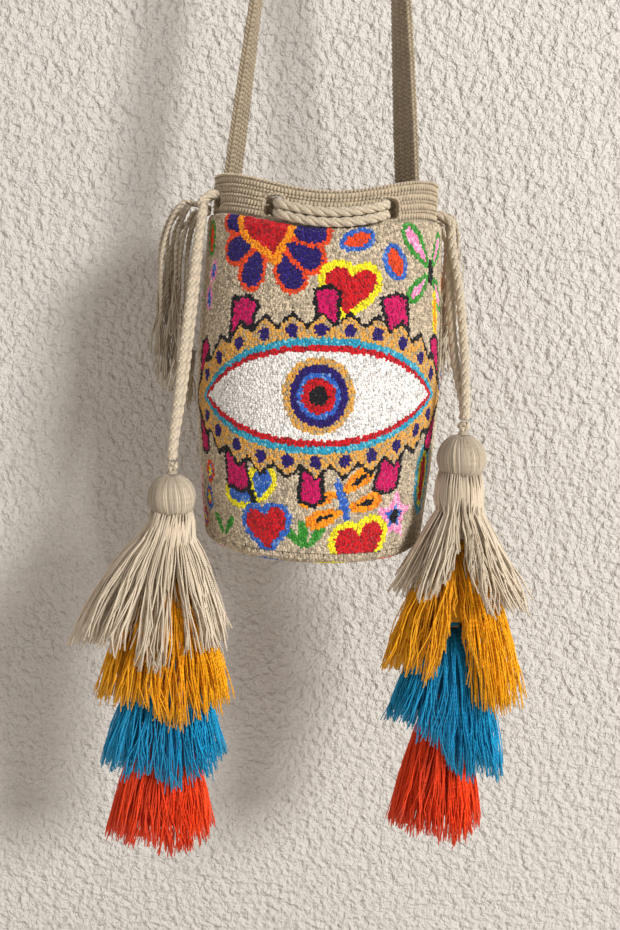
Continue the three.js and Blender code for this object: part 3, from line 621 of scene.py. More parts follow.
def node_helper(tree):
    nodes, links = tree.nodes, tree.links

    def make(kind, inputs=None, **settings):
        node = nodes.new(kind)
        for key, value in settings.items():
            setattr(node, key, value)
        for key, value in (inputs or {}).items():
            socket = enabled(node.inputs, key) if isinstance(key, str) else node.inputs[key]
            if isinstance(value, bpy.types.NodeSocket):
                links.new(value, socket)
            else:
                socket.default_value = value
        return node

    return make


def yarn_colour_group():
    """Colour of one yarn: its own shade, a slow mottle, and painted shade that darkens the depths between
    tufts.
    """
    group = bpy.data.node_groups.get("yarn_colour")
    if group:
        return group
    group = bpy.data.node_groups.new("yarn_colour", "ShaderNodeTree")
    new = group.interface.new_socket
    new(name="Colour", in_out="INPUT", socket_type="NodeSocketColor")
    new(name="Fleck", in_out="INPUT", socket_type="NodeSocketColor")
    sizes = (
        ("Shade", 0.5), ("Spread", 0.25), ("Depth", 1.0), ("Mottle", 0.15), ("Scale", 60.0), ("Flecks", 0.0),
    )
    for name, value in sizes:
        socket = new(name=name, in_out="INPUT", socket_type="NodeSocketFloat")
        socket.default_value = value
    new(name="Colour", in_out="OUTPUT", socket_type="NodeSocketColor")
    make = node_helper(group)
    source, sink = group.nodes.new("NodeGroupInput"), group.nodes.new("NodeGroupOutput")
    place = make("ShaderNodeTexCoord").outputs["Object"]
    slow = make("ShaderNodeTexNoise", {"Vector": place, "Scale": source.outputs["Scale"], "Detail": 3.0})

    def math_node(operation, a, b, c=None):
        node = make("ShaderNodeMath", {0: a, 1: b}, operation=operation)
        if c is not None:
            if isinstance(c, bpy.types.NodeSocket):
                group.links.new(c, node.inputs[2])
            else:
                node.inputs[2].default_value = c
        return node.outputs[0]

    own = math_node("MULTIPLY", math_node("SUBTRACT", source.outputs["Shade"], 0.5), source.outputs["Spread"])
    drift = math_node("MULTIPLY", math_node("SUBTRACT", slow.outputs["Fac"], 0.5), source.outputs["Mottle"])
    level = math_node("ADD", math_node("ADD", own, drift), 1.0)
    # Painted shade: the colour is 0.84 times at a shape's depth 0 and 1.04 times at depth 1.
    deep = math_node("MULTIPLY_ADD", source.outputs["Depth"], 0.2, 0.84)
    level = math_node("MULTIPLY", level, deep)
    number = math_node("FRACT", math_node("MULTIPLY", source.outputs["Shade"], 57.0), 0.0)
    fleck = math_node("LESS_THAN", number, source.outputs["Flecks"])
    mixed = make(
        "ShaderNodeMix", {"A": source.outputs["Colour"], "B": source.outputs["Fleck"]}, data_type="RGBA"
    )
    group.links.new(fleck, enabled(mixed.inputs, "Factor"))
    scaled = make("ShaderNodeVectorMath", {0: enabled(mixed.outputs, "Result")}, operation="SCALE")
    group.links.new(level, scaled.inputs["Scale"])
    group.links.new(scaled.outputs[0], sink.inputs[0])
    return group


def fibre_group():
    """Height of fine fibres, for a bump: stretched noise, and lines that wind round a twisted yarn."""
    group = bpy.data.node_groups.get("fibres")
    if group:
        return group
    group = bpy.data.node_groups.new("fibres", "ShaderNodeTree")
    new = group.interface.new_socket
    for name, value in (("Scale", 900.0), ("Along", 0.0), ("Around", 0.0), ("Twist", 0.0), ("Lines", 3.0)):
        socket = new(name=name, in_out="INPUT", socket_type="NodeSocketFloat")
        socket.default_value = value
    new(name="Height", in_out="OUTPUT", socket_type="NodeSocketFloat")
    make = node_helper(group)
    source, sink = group.nodes.new("NodeGroupInput"), group.nodes.new("NodeGroupOutput")
    place = make("ShaderNodeTexCoord").outputs["Object"]
    noise = make("ShaderNodeTexNoise", {"Vector": place, "Scale": source.outputs["Scale"], "Detail": 2.0})
    way = make(
        "ShaderNodeMath", {0: source.outputs["Along"], 1: source.outputs["Twist"]}, operation="MULTIPLY"
    )
    wound = make(
        "ShaderNodeMath", {0: source.outputs["Around"], 1: source.outputs["Lines"]}, operation="MULTIPLY"
    )
    both = make("ShaderNodeMath", {0: way.outputs[0], 1: wound.outputs[0]}, operation="ADD")
    angle = make("ShaderNodeMath", {0: both.outputs[0], 1: 2 * math.pi}, operation="MULTIPLY")
    wave = make("ShaderNodeMath", {0: angle.outputs[0]}, operation="SINE")
    half = make("ShaderNodeMath", {0: wave.outputs[0], 1: 0.35}, operation="MULTIPLY")
    total = make("ShaderNodeMath", {0: half.outputs[0], 1: noise.outputs["Fac"]}, operation="ADD")
    group.links.new(total.outputs[0], sink.inputs[0])
    return group


def yarn_material(
    name, colour, spread=0.25, mottle=0.15, fibre=0.4, twist=0.0, lines=3.0,
    roughness=0.92, sheen=0.25, flecks=None,
):
    """Yarn: shaded by tuft or strand, with a fibre bump and a soft sheen."""
    material = bpy.data.materials.get(name)
    if material:
        return material
    material = bpy.data.materials.new(name)
    material.use_nodes = True
    tree = material.node_tree
    make = node_helper(tree)
    shader = tree.nodes["Principled BSDF"]
    shader.inputs["Roughness"].default_value = roughness
    shader.inputs["Sheen Weight"].default_value = sheen
    shader.inputs["Sheen Roughness"].default_value = 0.45
    shader.inputs["Specular IOR Level"].default_value = 0.25

    def attribute(key):
        return make("ShaderNodeAttribute", attribute_name=key).outputs["Fac"]

    tint = make("ShaderNodeGroup", node_tree=yarn_colour_group())
    tint.inputs["Colour"].default_value = (*colour, 1)
    tint.inputs["Spread"].default_value = spread
    tint.inputs["Mottle"].default_value = mottle
    if flecks:
        tint.inputs["Fleck"].default_value = (*flecks[0], 1)
        tint.inputs["Flecks"].default_value = flecks[1]
    tree.links.new(attribute("shade"), tint.inputs["Shade"])
    if twist:
        fibres = make("ShaderNodeGroup", node_tree=fibre_group())
        tree.links.new(attribute("along"), fibres.inputs["Along"])
        tree.links.new(attribute("around"), fibres.inputs["Around"])
        fibres.inputs["Twist"].default_value = twist
        fibres.inputs["Lines"].default_value = lines
    else:
        # The shape's depth darkens its low end: painted shade between tufts and stitches.
        tree.links.new(attribute("depth"), tint.inputs["Depth"])
        fibres = make("ShaderNodeGroup", node_tree=fibre_group())
    bump = make("ShaderNodeBump", {"Strength": fibre, "Distance": 0.0005, "Height": fibres.outputs[0]})
    tree.links.new(tint.outputs[0], shader.inputs["Base Color"])
    tree.links.new(bump.outputs[0], shader.inputs["Normal"])
    return material


def shade_of(name):
    """The colour of that name in the panel."""
    return tuple(getattr(bpy.context.scene.mochila_colours, name))


# Pattern


def outline_distance(s, h, outline):
    """Distance to a closed outline, negative inside it."""
    points = np.asarray(outline, float)
    after = np.roll(points, -1, axis=0)
    best = np.full(s.shape, 1e9)
    inside = np.zeros(s.shape, bool)
    for (x0, y0), (x1, y1) in zip(points, after):
        dx, dy = x1 - x0, y1 - y0
        t = np.clip(((s - x0) * dx + (h - y0) * dy) / max(dx * dx + dy * dy, 1e-9), 0, 1)
        best = np.minimum(best, (s - x0 - t * dx) ** 2 + (h - y0 - t * dy) ** 2)
        if y0 != y1:
            crosses = (y0 > h) != (y1 > h)
            inside ^= crosses & (s < (x1 - x0) * (h - y0) / (y1 - y0) + x0)
    return np.where(inside, -np.sqrt(best), np.sqrt(best))


def turned(points, lean):
    c, d = math.cos(math.radians(lean)), math.sin(math.radians(lean))
    return [(x * c - y * d, x * d + y * c) for x, y in points]


def oval(a, b, lean=0, power=2.0, count=26):
    points = []
    for k in range(count):
        t = 2 * math.pi * k / count
        c, d = math.cos(t), math.sin(t)
        across, up = (math.copysign(abs(v) ** (2 / power), v) for v in (c, d))
        points.append((a * across, b * up))
    return turned(points, lean)


def heart(size, lean=0, count=28):
    points = []
    for k in range(count):
        t = -2 * math.pi * k / count
        y = (13 * math.cos(t) - 5 * math.cos(2 * t) - 2 * math.cos(3 * t) - math.cos(4 * t)) / 16
        points.append((size * math.sin(t) ** 3, size * y))
    return turned(points, lean)


def petal(length, width, lean=0, count=20):
    """A petal from the origin outward along the lean."""
    points = []
    for k in range(count):
        t = 2 * math.pi * k / count
        x = 0.5 * length * (1 - math.cos(t))
        points.append((x, 0.5 * width * math.sin(t) * (0.55 + 0.6 * x / length)))
    return turned(points, lean)


def star(size, points=5, inner=0.5, lean=90):
    corners = []
    for k in range(2 * points):
        r = size * (inner if k % 2 else 1)
        a = math.pi * k / points + math.radians(lean)
        corners.append((r * math.cos(a), r * math.sin(a)))
    return corners


# Place s and h, size, lean, outline colour and its width.
HEARTS = {
    "heart_lower_left": (-38.25, 17, 17.68, 8, "blue", 4.4),
    "heart_lower_right": (39.1, 5.44, 21.25, 12, "yellow", 5.0),
    "heart_upper_left": (-45.56, 237.75, 22.1, 20, "amber", 6.0),
    "heart_upper_right": (20.06, 196.1, 19.55, -8, "yellow", 5.6),
}


def flower(s, h, length, width, leans, line, fill, edge=2.5, start=3.0):
    found = []
    for lean in leans:
        a = math.radians(lean)
        place = (s + start * math.cos(a), h + start * math.sin(a))
        found.append((*place, petal(length, width, lean), edge, line, fill))
    return found


# Figures: place s and h, outline, line width, line colour, fill colour.
FIGURES = [
    *flower(-43, 233, 37, 28, (172, 208, 246), "orange", "navy", 3.6, 12),
    *flower(-43, 233, 37, 28, (302, 335, 8), "orange", "navy", 3.6, 12),
    (25, 232, oval(14.3, 8.9, 12), 4.0, "blue", "orange"),
    (57, 213, oval(15, 10, -60), 4.0, "blue", "orange"),
    *flower(100, 205, 46, 20, (136,), "green", "pink", 4.0, 4),
    *flower(100, 205, 33, 17, (214, 52, 312), "green", "pink", 4.0, 4),
    (100, 205, oval(4.5, 10), 1.0, "black", "black"),
    (-113, 224, oval(8, 14, 8), 3.4, "green", "orange"),
    (-104, 199, oval(6, 9, -20), 2.6, "pink", "blue"),
    (-108, 179, oval(6, 10, 10), 2.6, "pink", "blue"),
    (108, 175, oval(5, 17, 4), 2.0, "yellow", "amber"),
    *flower(-47, 33, 32, 27, (72, 160), "yellow", "blue", 4.4, 0),
    (-51, 40, oval(2.6, 13, 26), 1.0, "black", "black"),
    (-101, 50, oval(7, 9), 3.0, "orange", "blue"),
    (-101, 50, oval(3, 4), 1.0, "yellow", "yellow"),
    (-106, 29, oval(7, 9), 3.0, "blue", "orange"),
    (-106, 29, oval(3, 4), 1.0, "yellow", "yellow"),
    (-120, 11, oval(8, 8), 3.0, "orange", "blue"),
    (-120, 11, oval(3, 3.5), 1.0, "yellow", "yellow"),
    (-137, 27, oval(11, 21, -4), 4.0, "pink", "red"),
    *flower(-82, 3, 19, 7, (55, 128), "green", "green", 1.0, 2),
    *flower(19, 44, 30, 15, (36, 192), "amber", "amber", 2.0, 2),
    *flower(24, 32, 30, 15, (16, 200), "amber", "amber", 2.0, 2),
    *flower(19, 44, 15, 4.5, (36, 192), "black", "black", 2.0, 9),
    *flower(24, 32, 15, 4.5, (16, 200), "black", "black", 2.0, 9),
    (22, 38, oval(3.4, 20, 18), 2.0, "blue", "blue"),
    *flower(-6, 2, 20, 8, (50, 100, 135), "green", "green", 1.0, 2),
    (70, 25, star(21), 4.5, "pink", "blue"),
    (70, 25, oval(4.5, 6), 1.0, "black", "black"),
    (105, 50, oval(13, 28, 6), 5.0, "turquoise", "yellow"),
    (105, 50, oval(5, 18, 6), 1.0, "red", "red"),
    # The sides and the back carry the same kinds of figure.
    *flower(160, 190, 26, 15, (18, 90, 162, 234, 306), "amber", "red", 3.4, 5),
    (160, 190, oval(6, 6), 1.0, "yellow", "yellow"),
    (150, 120, heart(19, 8), 4.5, "blue", "red"),
    (145, 62, oval(10, 16, -30), 4.0, "green", "pink"),
    *flower(196, 52, 25, 17, (30, 150, 210, 330), "yellow", "blue", 3.8, 2),
    (196, 52, oval(3, 14), 1.0, "black", "black"),
    (205, 138, star(23), 4.4, "pink", "blue"),
    (205, 138, oval(5, 6), 1.0, "black", "black"),
    (212, 214, oval(15, 9, 12), 4.0, "blue", "orange"),
    *flower(254, 92, 30, 19, (45, 135, 225, 315), "green", "pink", 3.8, 4),
    (254, 92, oval(5, 8), 1.0, "black", "black"),
    (252, 176, heart(21, -6), 4.6, "amber", "red"),
    (250, 26, oval(16, 9, 8), 4.0, "turquoise", "yellow"),
    (301, 130, oval(20, 30), 5.0, "gold", "white"),
    (301, 130, oval(9, 12), 3.0, "navy", "blue"),
    (301, 130, oval(3.4, 4.4), 1.0, "black", "black"),
    *flower(301, 208, 24, 15, (0, 60, 120, 180, 240, 300), "orange", "navy", 3.4, 5),
    (301, 208, oval(6, 6), 1.0, "yellow", "yellow"),
    (301, 44, heart(20, 0), 4.6, "yellow", "red"),
    (-252, 170, heart(20, 10), 4.5, "blue", "red"),
    *flower(-250, 92, 28, 18, (45, 135, 225, 315), "yellow", "turquoise", 3.6, 3),
    (-250, 92, oval(4, 9), 1.0, "black", "black"),
    (-248, 28, oval(15, 9, -10), 4.0, "green", "amber"),
    (-206, 212, oval(15, 9, -12), 4.0, "blue", "orange"),
    (-203, 136, star(23), 4.4, "orange", "navy"),
    (-203, 136, oval(5, 6), 1.0, "yellow", "yellow"),
    *flower(-196, 52, 26, 16, (18, 90, 162, 234, 306), "pink", "magenta", 3.2, 5),
    (-196, 52, oval(5, 5), 1.0, "yellow", "yellow"),
    *flower(-158, 190, 26, 16, (54, 126, 198, 270, 342), "green", "pink", 3.4, 5),
    (-158, 190, oval(5, 5), 1.0, "black", "black"),
    (-156, 112, heart(19, -8), 4.5, "yellow", "red"),
]


def eye_axis(s):
    """Height of the eye's middle line."""
    return EYE_HEIGHT + EYE_LEAN * (s / 100) - EYE_DROOP * (s / 100) ** 2


def lens_half(s, size, power):
    """Half the height of a pointed oval."""
    return size[1] * (1 - np.abs(np.clip(s / size[0], -1, 1)) ** power)


def lens_mask(s, h, size, grow=0.0, zigzag=0.0):
    """Inside of a pointed oval, whose edges may be zigzag."""
    length, height = size
    t = s / (length + grow)
    tooth = 0.0
    if zigzag:
        tooth = zigzag * (4 * np.abs((s / ZIGZAG_STEP) % 1 - 0.5) - 1) * np.minimum(1, 4 * (1 - np.abs(t)))
    half = lens_half(t, (1, height), BAND_POWER if zigzag else LENS_POWER)
    return (np.abs(t) < 1) & (np.abs(h - eye_axis(s)) < np.maximum(0.1, half + tooth + grow))


def block_outline(s, width, side):
    foot = lens_half(s, GOLD_BAND, BAND_POWER) - OUTLINE_WIDTH
    lean = -0.16 * np.sign(s) * min(1, 4 * abs(s) / GOLD_BAND[0]) * BLOCK_LENGTH
    corners = [(-0.5, 0), (0.5, 0), (0.5, 0.88), (0.1, 1), (-0.5, 0.9)]
    return [
        (
            s + across * width * (0.75 + 0.25 * along) + lean * along,
            eye_axis(s) + side * (foot + along * (BLOCK_LENGTH + OUTLINE_WIDTH)),
        )
        for across, along in corners
    ]


def pattern(s, h):
    """The name of the colour at each place of the wall's pile."""
    colour = np.full(s.shape, "ground", dtype="<U10")
    for place_s, place_h, outline, width, line, fill in FIGURES:
        ds = (s - place_s + HALF_ROUND) % (2 * HALF_ROUND) - HALF_ROUND
        dh = h - place_h
        near = (np.abs(ds) < 60) & (np.abs(dh) < 60)
        d = outline_distance(ds[near], dh[near], outline)
        found = colour[near]
        found[d < 0] = line
        found[d < -width] = fill
        colour[near] = found
    for place_s, place_h, size, lean, line, edge in HEARTS.values():
        near = (np.abs(s - place_s) < 50) & (np.abs(h - place_h) < 50)
        d = outline_distance(s[near] - place_s, h[near] - place_h, heart(size, lean))
        found = colour[near]
        found[d < edge] = line
        found[d < 0] = "red"
        colour[near] = found
    for side, places in BLOCK_PLACES.items():
        for share, width in zip(places, BLOCK_WIDTHS):
            place = share * GOLD_BAND[0]
            near = np.abs(s - place) < 40
            d = outline_distance(s[near], h[near], block_outline(place, width, side))
            found = colour[near]
            found[d < OUTLINE_WIDTH] = "black"
            found[d < 0] = "magenta"
            colour[near] = found
    colour[lens_mask(s, h, GOLD_BAND, OUTLINE_WIDTH, ZIGZAG)] = "black"
    colour[lens_mask(s, h, GOLD_BAND, 0, ZIGZAG)] = "gold"
    for place in DOT_PLACES:
        middle = (lens_half(place, TURQUOISE_LINE, LENS_POWER) + lens_half(place, GOLD_BAND, BAND_POWER)) / 2
        for side in (1, -1):
            away = np.hypot((s - place) / DOT_SIZE[0], (h - eye_axis(place) - side * middle) / DOT_SIZE[1])
            colour[(away < 1) & (colour == "gold")] = "navy"
    colour[lens_mask(s, h, TURQUOISE_LINE)] = "turquoise"
    colour[lens_mask(s, h, RED_LINE)] = "red"
    colour[lens_mask(s, h, WHITE)] = "white"
    away = np.hypot(s, (h - EYE_HEIGHT) / IRIS_TALL)
    for radius, name in IRIS:
        colour[away < radius] = name
    return colour


BASE_COLOURS = ("yellow", "orange", "green", "pink", "blue")
BASE_PLACES, BASE_RING, BASE_OVAL = 10, 0.88, (15.0, 9.0)


def base_pattern(x, y):
    """The same for the base, with a ring of round fields near its edge."""
    share, turn = np.hypot(x / 83, y / 80), np.arctan2(x, -y)
    colour = np.full(x.shape, "ground", dtype="<U10")
    for k in range(BASE_PLACES):
        apart = (turn - 2 * math.pi * (k + 0.3) / BASE_PLACES + math.pi) % (2 * math.pi) - math.pi
        away = np.hypot(apart * 72 / BASE_OVAL[0], (share - BASE_RING) * 81 / BASE_OVAL[1])
        colour[away < 1] = BASE_COLOURS[k % 5]
        colour[away < 0.5] = BASE_COLOURS[(k + 2) % 5]
    return colour


# Bag pieces


def ring_steps(points_at, spacing, rng):
    """Angles that share a ring evenly, with their own start."""
    fine = np.linspace(0, 2 * math.pi, 721)
    line = points_at(fine)
    away = np.concatenate([[0], np.cumsum(np.linalg.norm(np.diff(line, axis=0), axis=1))])
    count = max(5, int(round(away[-1] / spacing)))
    at = (np.arange(count) + rng.random()) / count * away[-1]
    return np.interp(at, away, fine)


def wall_tufts(settings):
    """Places, frames and pattern places of the wall's tufts."""
    rng = np.random.default_rng(settings.seed)
    spacing = settings.spacing / MM
    rows = np.arange(0.4, PILE_TOP - 0.6, spacing * 0.87)
    angles, heights = [], []
    for h in rows:
        ring = ring_steps(lambda a: wall_point(a, h, PILE_OUTER), spacing, rng)
        angles.append(ring)
        heights.append(np.full(len(ring), h))
    angle, height = np.concatenate(angles), np.concatenate(heights)
    angle = angle + rng.normal(0, 0.15 * spacing / 85, len(angle))
    height = np.clip(height + rng.normal(0, 0.13 * spacing, len(height)), 0.2, PILE_TOP - 1.0)
    angle = (angle + math.pi) % (2 * math.pi) - math.pi
    out = PILE_OUTER - 0.5 - 1.3 * smoothstep((height - PILE_TOP + 5) / 5) + rng.normal(0, 0.15, len(angle))
    along, up, normal = wall_frame(angle, height)
    lean = 0.6 * smoothstep((height - PILE_TOP + 5) / 5)[:, None]
    normal = unit(normal + lean * up)
    return to_frame(wall_point(angle, height, out)), along, normal, angle * PATTERN_RADIUS, height, rng


def base_tufts(settings):
    """The same for the base."""
    rng = np.random.default_rng(settings.seed + 1)
    spacing = 1.15 * settings.spacing / MM
    profile = [(0.0, 0, 0.0), (0.52, 0, 0), (0.82, 0, 0.65), (0.97, 0, 3.64), (1, 3.4, 8.06), (1, 4.3, 12.4)]
    line = np.array([[share * 83 + out, 0, z] for share, out, z in profile])
    away = np.concatenate([[0], np.cumsum(np.linalg.norm(np.diff(line, axis=0), axis=1))])
    places, normals, alongs = [], [], []
    shares = np.array([p[0] for p in profile])
    outs = np.array([p[1] for p in profile])
    for at in np.arange(0.7, away[-1] - 0.6, spacing * 0.87):
        share, out = np.interp(at, away, shares), np.interp(at, away, outs)
        z = np.interp(at, away, line[:, 2])
        rise = np.interp(at + 2, away, line[:, 2]) - np.interp(at - 2, away, line[:, 2])
        run = np.interp(at + 2, away, line[:, 0]) - np.interp(at - 2, away, line[:, 0])

        def ring(a):
            return np.stack([(83 * share + out) * np.sin(a), -(80 * share + out) * np.cos(a), 0 * a + z], -1)

        a = ring_steps(ring, spacing, rng)
        tip = ring(a)
        outward = unit(np.stack([np.sin(a), -np.cos(a), 0 * a], -1))
        tilt = math.atan2(rise, run)
        normal = outward * math.sin(tilt) + np.array([0, 0, -math.cos(tilt)])
        places.append(tip - normal * 0.5)
        normals.append(normal)
        alongs.append(unit(np.stack([np.cos(a), np.sin(a), 0 * a], -1)))
    places = np.concatenate(places)
    places = places + rng.normal(0, 0.25, places.shape) * [1, 1, 0.3]
    return to_frame(places), np.concatenate(alongs), np.concatenate(normals), rng


PILE_PIECES = {
    "black": ("pile_black_outlines", ["outline_black", "pupil_black"]),
    "gold": ("pile_gold_band", ["gold_band", "iris_gold"]),
    "turquoise": ("pile_turquoise_line", ["line_turquoise"]),
    "red": ("pile_red_lines_and_hearts", ["line_red", "iris_red", *HEARTS]),
    "white": ("pile_white_of_the_eye", ["eye_white"]),
    "navy": ("pile_navy_dots_and_petals", ["iris_navy"]),
    "blue": ("pile_blue_figures", ["iris_blue"]),
    "magenta": (
        "pile_magenta_blocks",
        [f"block_{side}_{i}" for side in ("upper", "lower") for i in range(1, 6)],
    ),
    "yellow": ("pile_yellow_figures", []),
    "amber": ("pile_amber_figures", []),
    "orange": ("pile_orange_figures", []),
    "green": ("pile_green_leaves", []),
    "pink": ("pile_pink_petals", []),
}


# Colour and share of the other tufts in a field.
FLECKS = {
    "gold": ("b09a78", 0.34), "turquoise": ("6fbfd0", 0.22), "yellow": ("cbbb1e", 0.2),
    "blue": ("6d92cf", 0.2),
    "pink": ("f7bfd9", 0.3), "orange": ("c2401c", 0.25), "amber": ("e07a10", 0.25), "red": ("98101a", 0.25),
    "green": ("57a24a", 0.25), "white": ("c9c7c4", 0.2), "magenta": ("a3044e", 0.25), "navy": ("2c1a75", 0.3),
}


def make_pile(context):
    settings = context.scene.mochila_pile
    shape = tuft_shape()
    size = (settings.width, settings.width, settings.height)
    places, along, normal, s, h, rng = wall_tufts(settings)
    colour = pattern(s + rng.normal(0, 0.25, len(s)), h + rng.normal(0, 0.25, len(h)))
    quarter = np.floor(((s / HALF_ROUND + 1) * 2 + 0.5) % 4).astype(int)
    base_places, base_along, base_normal, rng = base_tufts(settings)
    local = base_places / MM - BAG_ORIGIN
    on_base = np.arange(len(s) + len(local)) >= len(s)
    colour = np.concatenate([colour, base_pattern(local[:, 0], local[:, 1])])
    quarter = np.concatenate([quarter, np.full(len(local), -1)])
    places = np.concatenate([places, base_places])
    turn = np.concatenate([turns(along, normal), turns(base_along, base_normal)])
    shade = rng.random(len(places))
    common = dict(tilt=settings.tilt, spin=math.pi, spread=0.12, seed=settings.seed)

    def tufted(name, pick, material, nodes, slot):
        piece = scatter(name, places[pick], turn[pick], size, shade[pick], shape, material, **common)
        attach(piece, "bag")
        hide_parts(*nodes)

    for name, (piece_name, nodes) in PILE_PIECES.items():
        pick = colour == name
        carriers = nodes or ["wall_pile_ground"]
        if on_base[pick].any():
            carriers = [*carriers, "base_pile"]
        flecks = FLECKS.get(name)
        flecks = flecks and (linear(flecks[0]), flecks[1])
        material = yarn_material("yarn_" + name, shade_of(name), spread=0.3, flecks=flecks)
        tufted(piece_name, pick, material, carriers, name if nodes else "pile_beige")
    ground = yarn_material("yarn_ground", shade_of("ground"), spread=0.85, mottle=0.3)
    for k, side in enumerate(("back", "left", "front", "right")):
        pick = (colour == "ground") & (quarter == k)
        tufted(f"pile_ground_{side}", pick, ground, ["wall_pile_ground"], "pile_beige")
    tufted("pile_base", (colour == "ground") & on_base, ground, ["base_pile"], "pile_beige")
    bpy.data.objects.remove(shape)


def eyelet_share(angle, height):
    """How far a place is from the nearest eyelet's middle, 1 at its edge."""
    best = np.full(np.broadcast(angle, height).shape, 9.0)
    for eyelet in np.radians(EYELET_ANGLES):
        turn = (angle - eyelet + math.pi) % (2 * math.pi) - math.pi
        middle = wall_point(eyelet + 0 * turn, EYELET_AT, 0)
        along = np.linalg.norm(wall_point(eyelet + turn, EYELET_AT, 0) - middle, axis=-1)
        along = np.where(np.abs(turn) < 0.5, along, 99)
        upward = np.abs(height - EYELET_AT) / (EYELET_HEIGHT / 2)
        share = ((along / (EYELET_WIDTH / 2)) ** 4 + upward**4) ** 0.25
        best = np.minimum(best, share)
    return best


def crochet_shell():
    """The bucket: outer wall, rim, inner wall and base, closed."""
    count = 168
    angle = np.linspace(0, 2 * math.pi, count, endpoint=False)
    rings = []

    def base_ring(share, z, out=0.0):
        x = (83 * share + out) * np.sin(angle)
        rings.append(np.stack([x, -(80 * share + out) * np.cos(angle), 0 * angle + z], -1))

    base_curve = [(0.52, 4.8), (0.8, 5.7), (0.93, 7.6)]
    for share, z in base_curve:
        base_ring(share, z)
    for h in (0.3, 30, 70, 115, 160, 200, 232):
        rings.append(wall_point(angle, h, 0))
    start = WALL_HEIGHT - RIB_COUNT * RIB_PITCH
    for rib in range(RIB_COUNT):
        for share, out in ((0, -0.5), (0.14, 0.1), (0.5, 0.45), (0.86, 0.1)):
            rings.append(wall_point(angle, start + (rib + share) * RIB_PITCH, out))
    rings.append(wall_point(angle, WALL_HEIGHT - 1.2, -0.4))
    rings.append(wall_point(angle, WALL_HEIGHT - 0.4, -1.5))
    rings.append(wall_point(angle, WALL_HEIGHT - 1.2, -2.6))
    for h in (264, 254, 244, 220, 180, 140, 100, 60, 25, 2):
        rings.append(wall_point(angle, h, -WALL_THICKNESS))
    for share, z in reversed(base_curve):
        base_ring(share, z + 3, -3)
    vertices = np.concatenate(rings)
    quads = []
    k = np.arange(count)
    for r in range(len(rings) - 1):
        a, b = r * count + k, r * count + (k + 1) % count
        quads.append(np.stack([a, b, b + count, a + count], -1))
    last = len(rings) - 1
    middles = [rings[0].mean(0), rings[-1].mean(0)]
    n = len(vertices)
    vertices = np.concatenate([vertices, middles])
    fan_low = np.stack([(k + 1) % count, k, np.full(count, n)], -1)
    fan_high = np.stack([last * count + k, last * count + (k + 1) % count, np.full(count, n + 1)], -1)
    return to_frame(vertices), [*quads, fan_low, fan_high]


EDGING = 2.4  # the eyelet's soft edging stands this far into the hole


def eyelet_cutter(angle):
    """A soft-cornered plug through the wall at one eyelet."""
    turn = math.radians(angle)
    normal = flat_normal(turn, EYELET_AT)
    up = np.array([0, 0, 1.0])
    across = np.cross(up, normal)
    middle = wall_point(turn, EYELET_AT, 0)
    outline = oval(EYELET_WIDTH / 2 - EDGING, EYELET_HEIGHT / 2 - 0.5 * EDGING, 0, 3.2, 32)
    rings = [[middle + across * x + up * y + normal * d for x, y in outline] for d in (-9, 9)]
    vertices = to_frame(np.concatenate(rings))
    k = np.arange(32)
    quads = np.stack([k, (k + 1) % 32, (k + 1) % 32 + 32, k + 32], -1)
    return mesh_piece("eyelet_cutter", vertices, [quads, [list(range(31, -1, -1))], [list(range(32, 64))]])


def crochet_material():
    """Rows of small stitches on Object coordinates, with painted shade between them, for the lining and the
    ground of the rim.
    """
    material = bpy.data.materials.get("crochet_lining")
    if material:
        return material
    material = bpy.data.materials.new("crochet_lining")
    material.use_nodes = True
    tree = material.node_tree
    make = node_helper(tree)
    shader = tree.nodes["Principled BSDF"]
    shader.inputs["Roughness"].default_value = 0.95
    shader.inputs["Sheen Weight"].default_value = 0.2
    shader.inputs["Specular IOR Level"].default_value = 0.2

    def attribute(key):
        return make("ShaderNodeAttribute", attribute_name=key).outputs["Fac"]

    def calc(operation, a, b=0.0, c=0.0):
        return make("ShaderNodeMath", {0: a, 1: b, 2: c}, operation=operation).outputs[0]

    row = calc("MULTIPLY", attribute("height"), 1 / 0.0046)
    column = calc("MULTIPLY", attribute("around"), 190.0)
    shifted = calc("MULTIPLY_ADD", calc("FLOOR", row), 0.5, column)
    across = calc("ABSOLUTE", calc("SUBTRACT", calc("FRACT", shifted), 0.5))
    upward = calc("ABSOLUTE", calc("SUBTRACT", calc("FRACT", row), 0.5))
    round_lump = calc("ADD", calc("MULTIPLY", across, across), calc("MULTIPLY", upward, upward))
    lump = calc("SUBTRACT", 1.0, round_lump)
    fibres = make("ShaderNodeGroup", node_tree=fibre_group())
    height = calc("MULTIPLY_ADD", lump, 5.0, fibres.outputs[0])
    tint = make("ShaderNodeGroup", node_tree=yarn_colour_group())
    tint.inputs["Colour"].default_value = (*shade_of("rim"), 1)
    tint.inputs["Mottle"].default_value = 0.25
    # Painted shade: the colour darkens towards the crevices between the stitch lumps.
    tree.links.new(calc("MULTIPLY_ADD", lump, 2.0, -1.0), tint.inputs["Depth"])
    bump = make("ShaderNodeBump", {"Strength": 0.6, "Distance": 0.0012, "Height": height})
    tree.links.new(tint.outputs[0], shader.inputs["Base Color"])
    tree.links.new(bump.outputs[0], shader.inputs["Normal"])
    return material


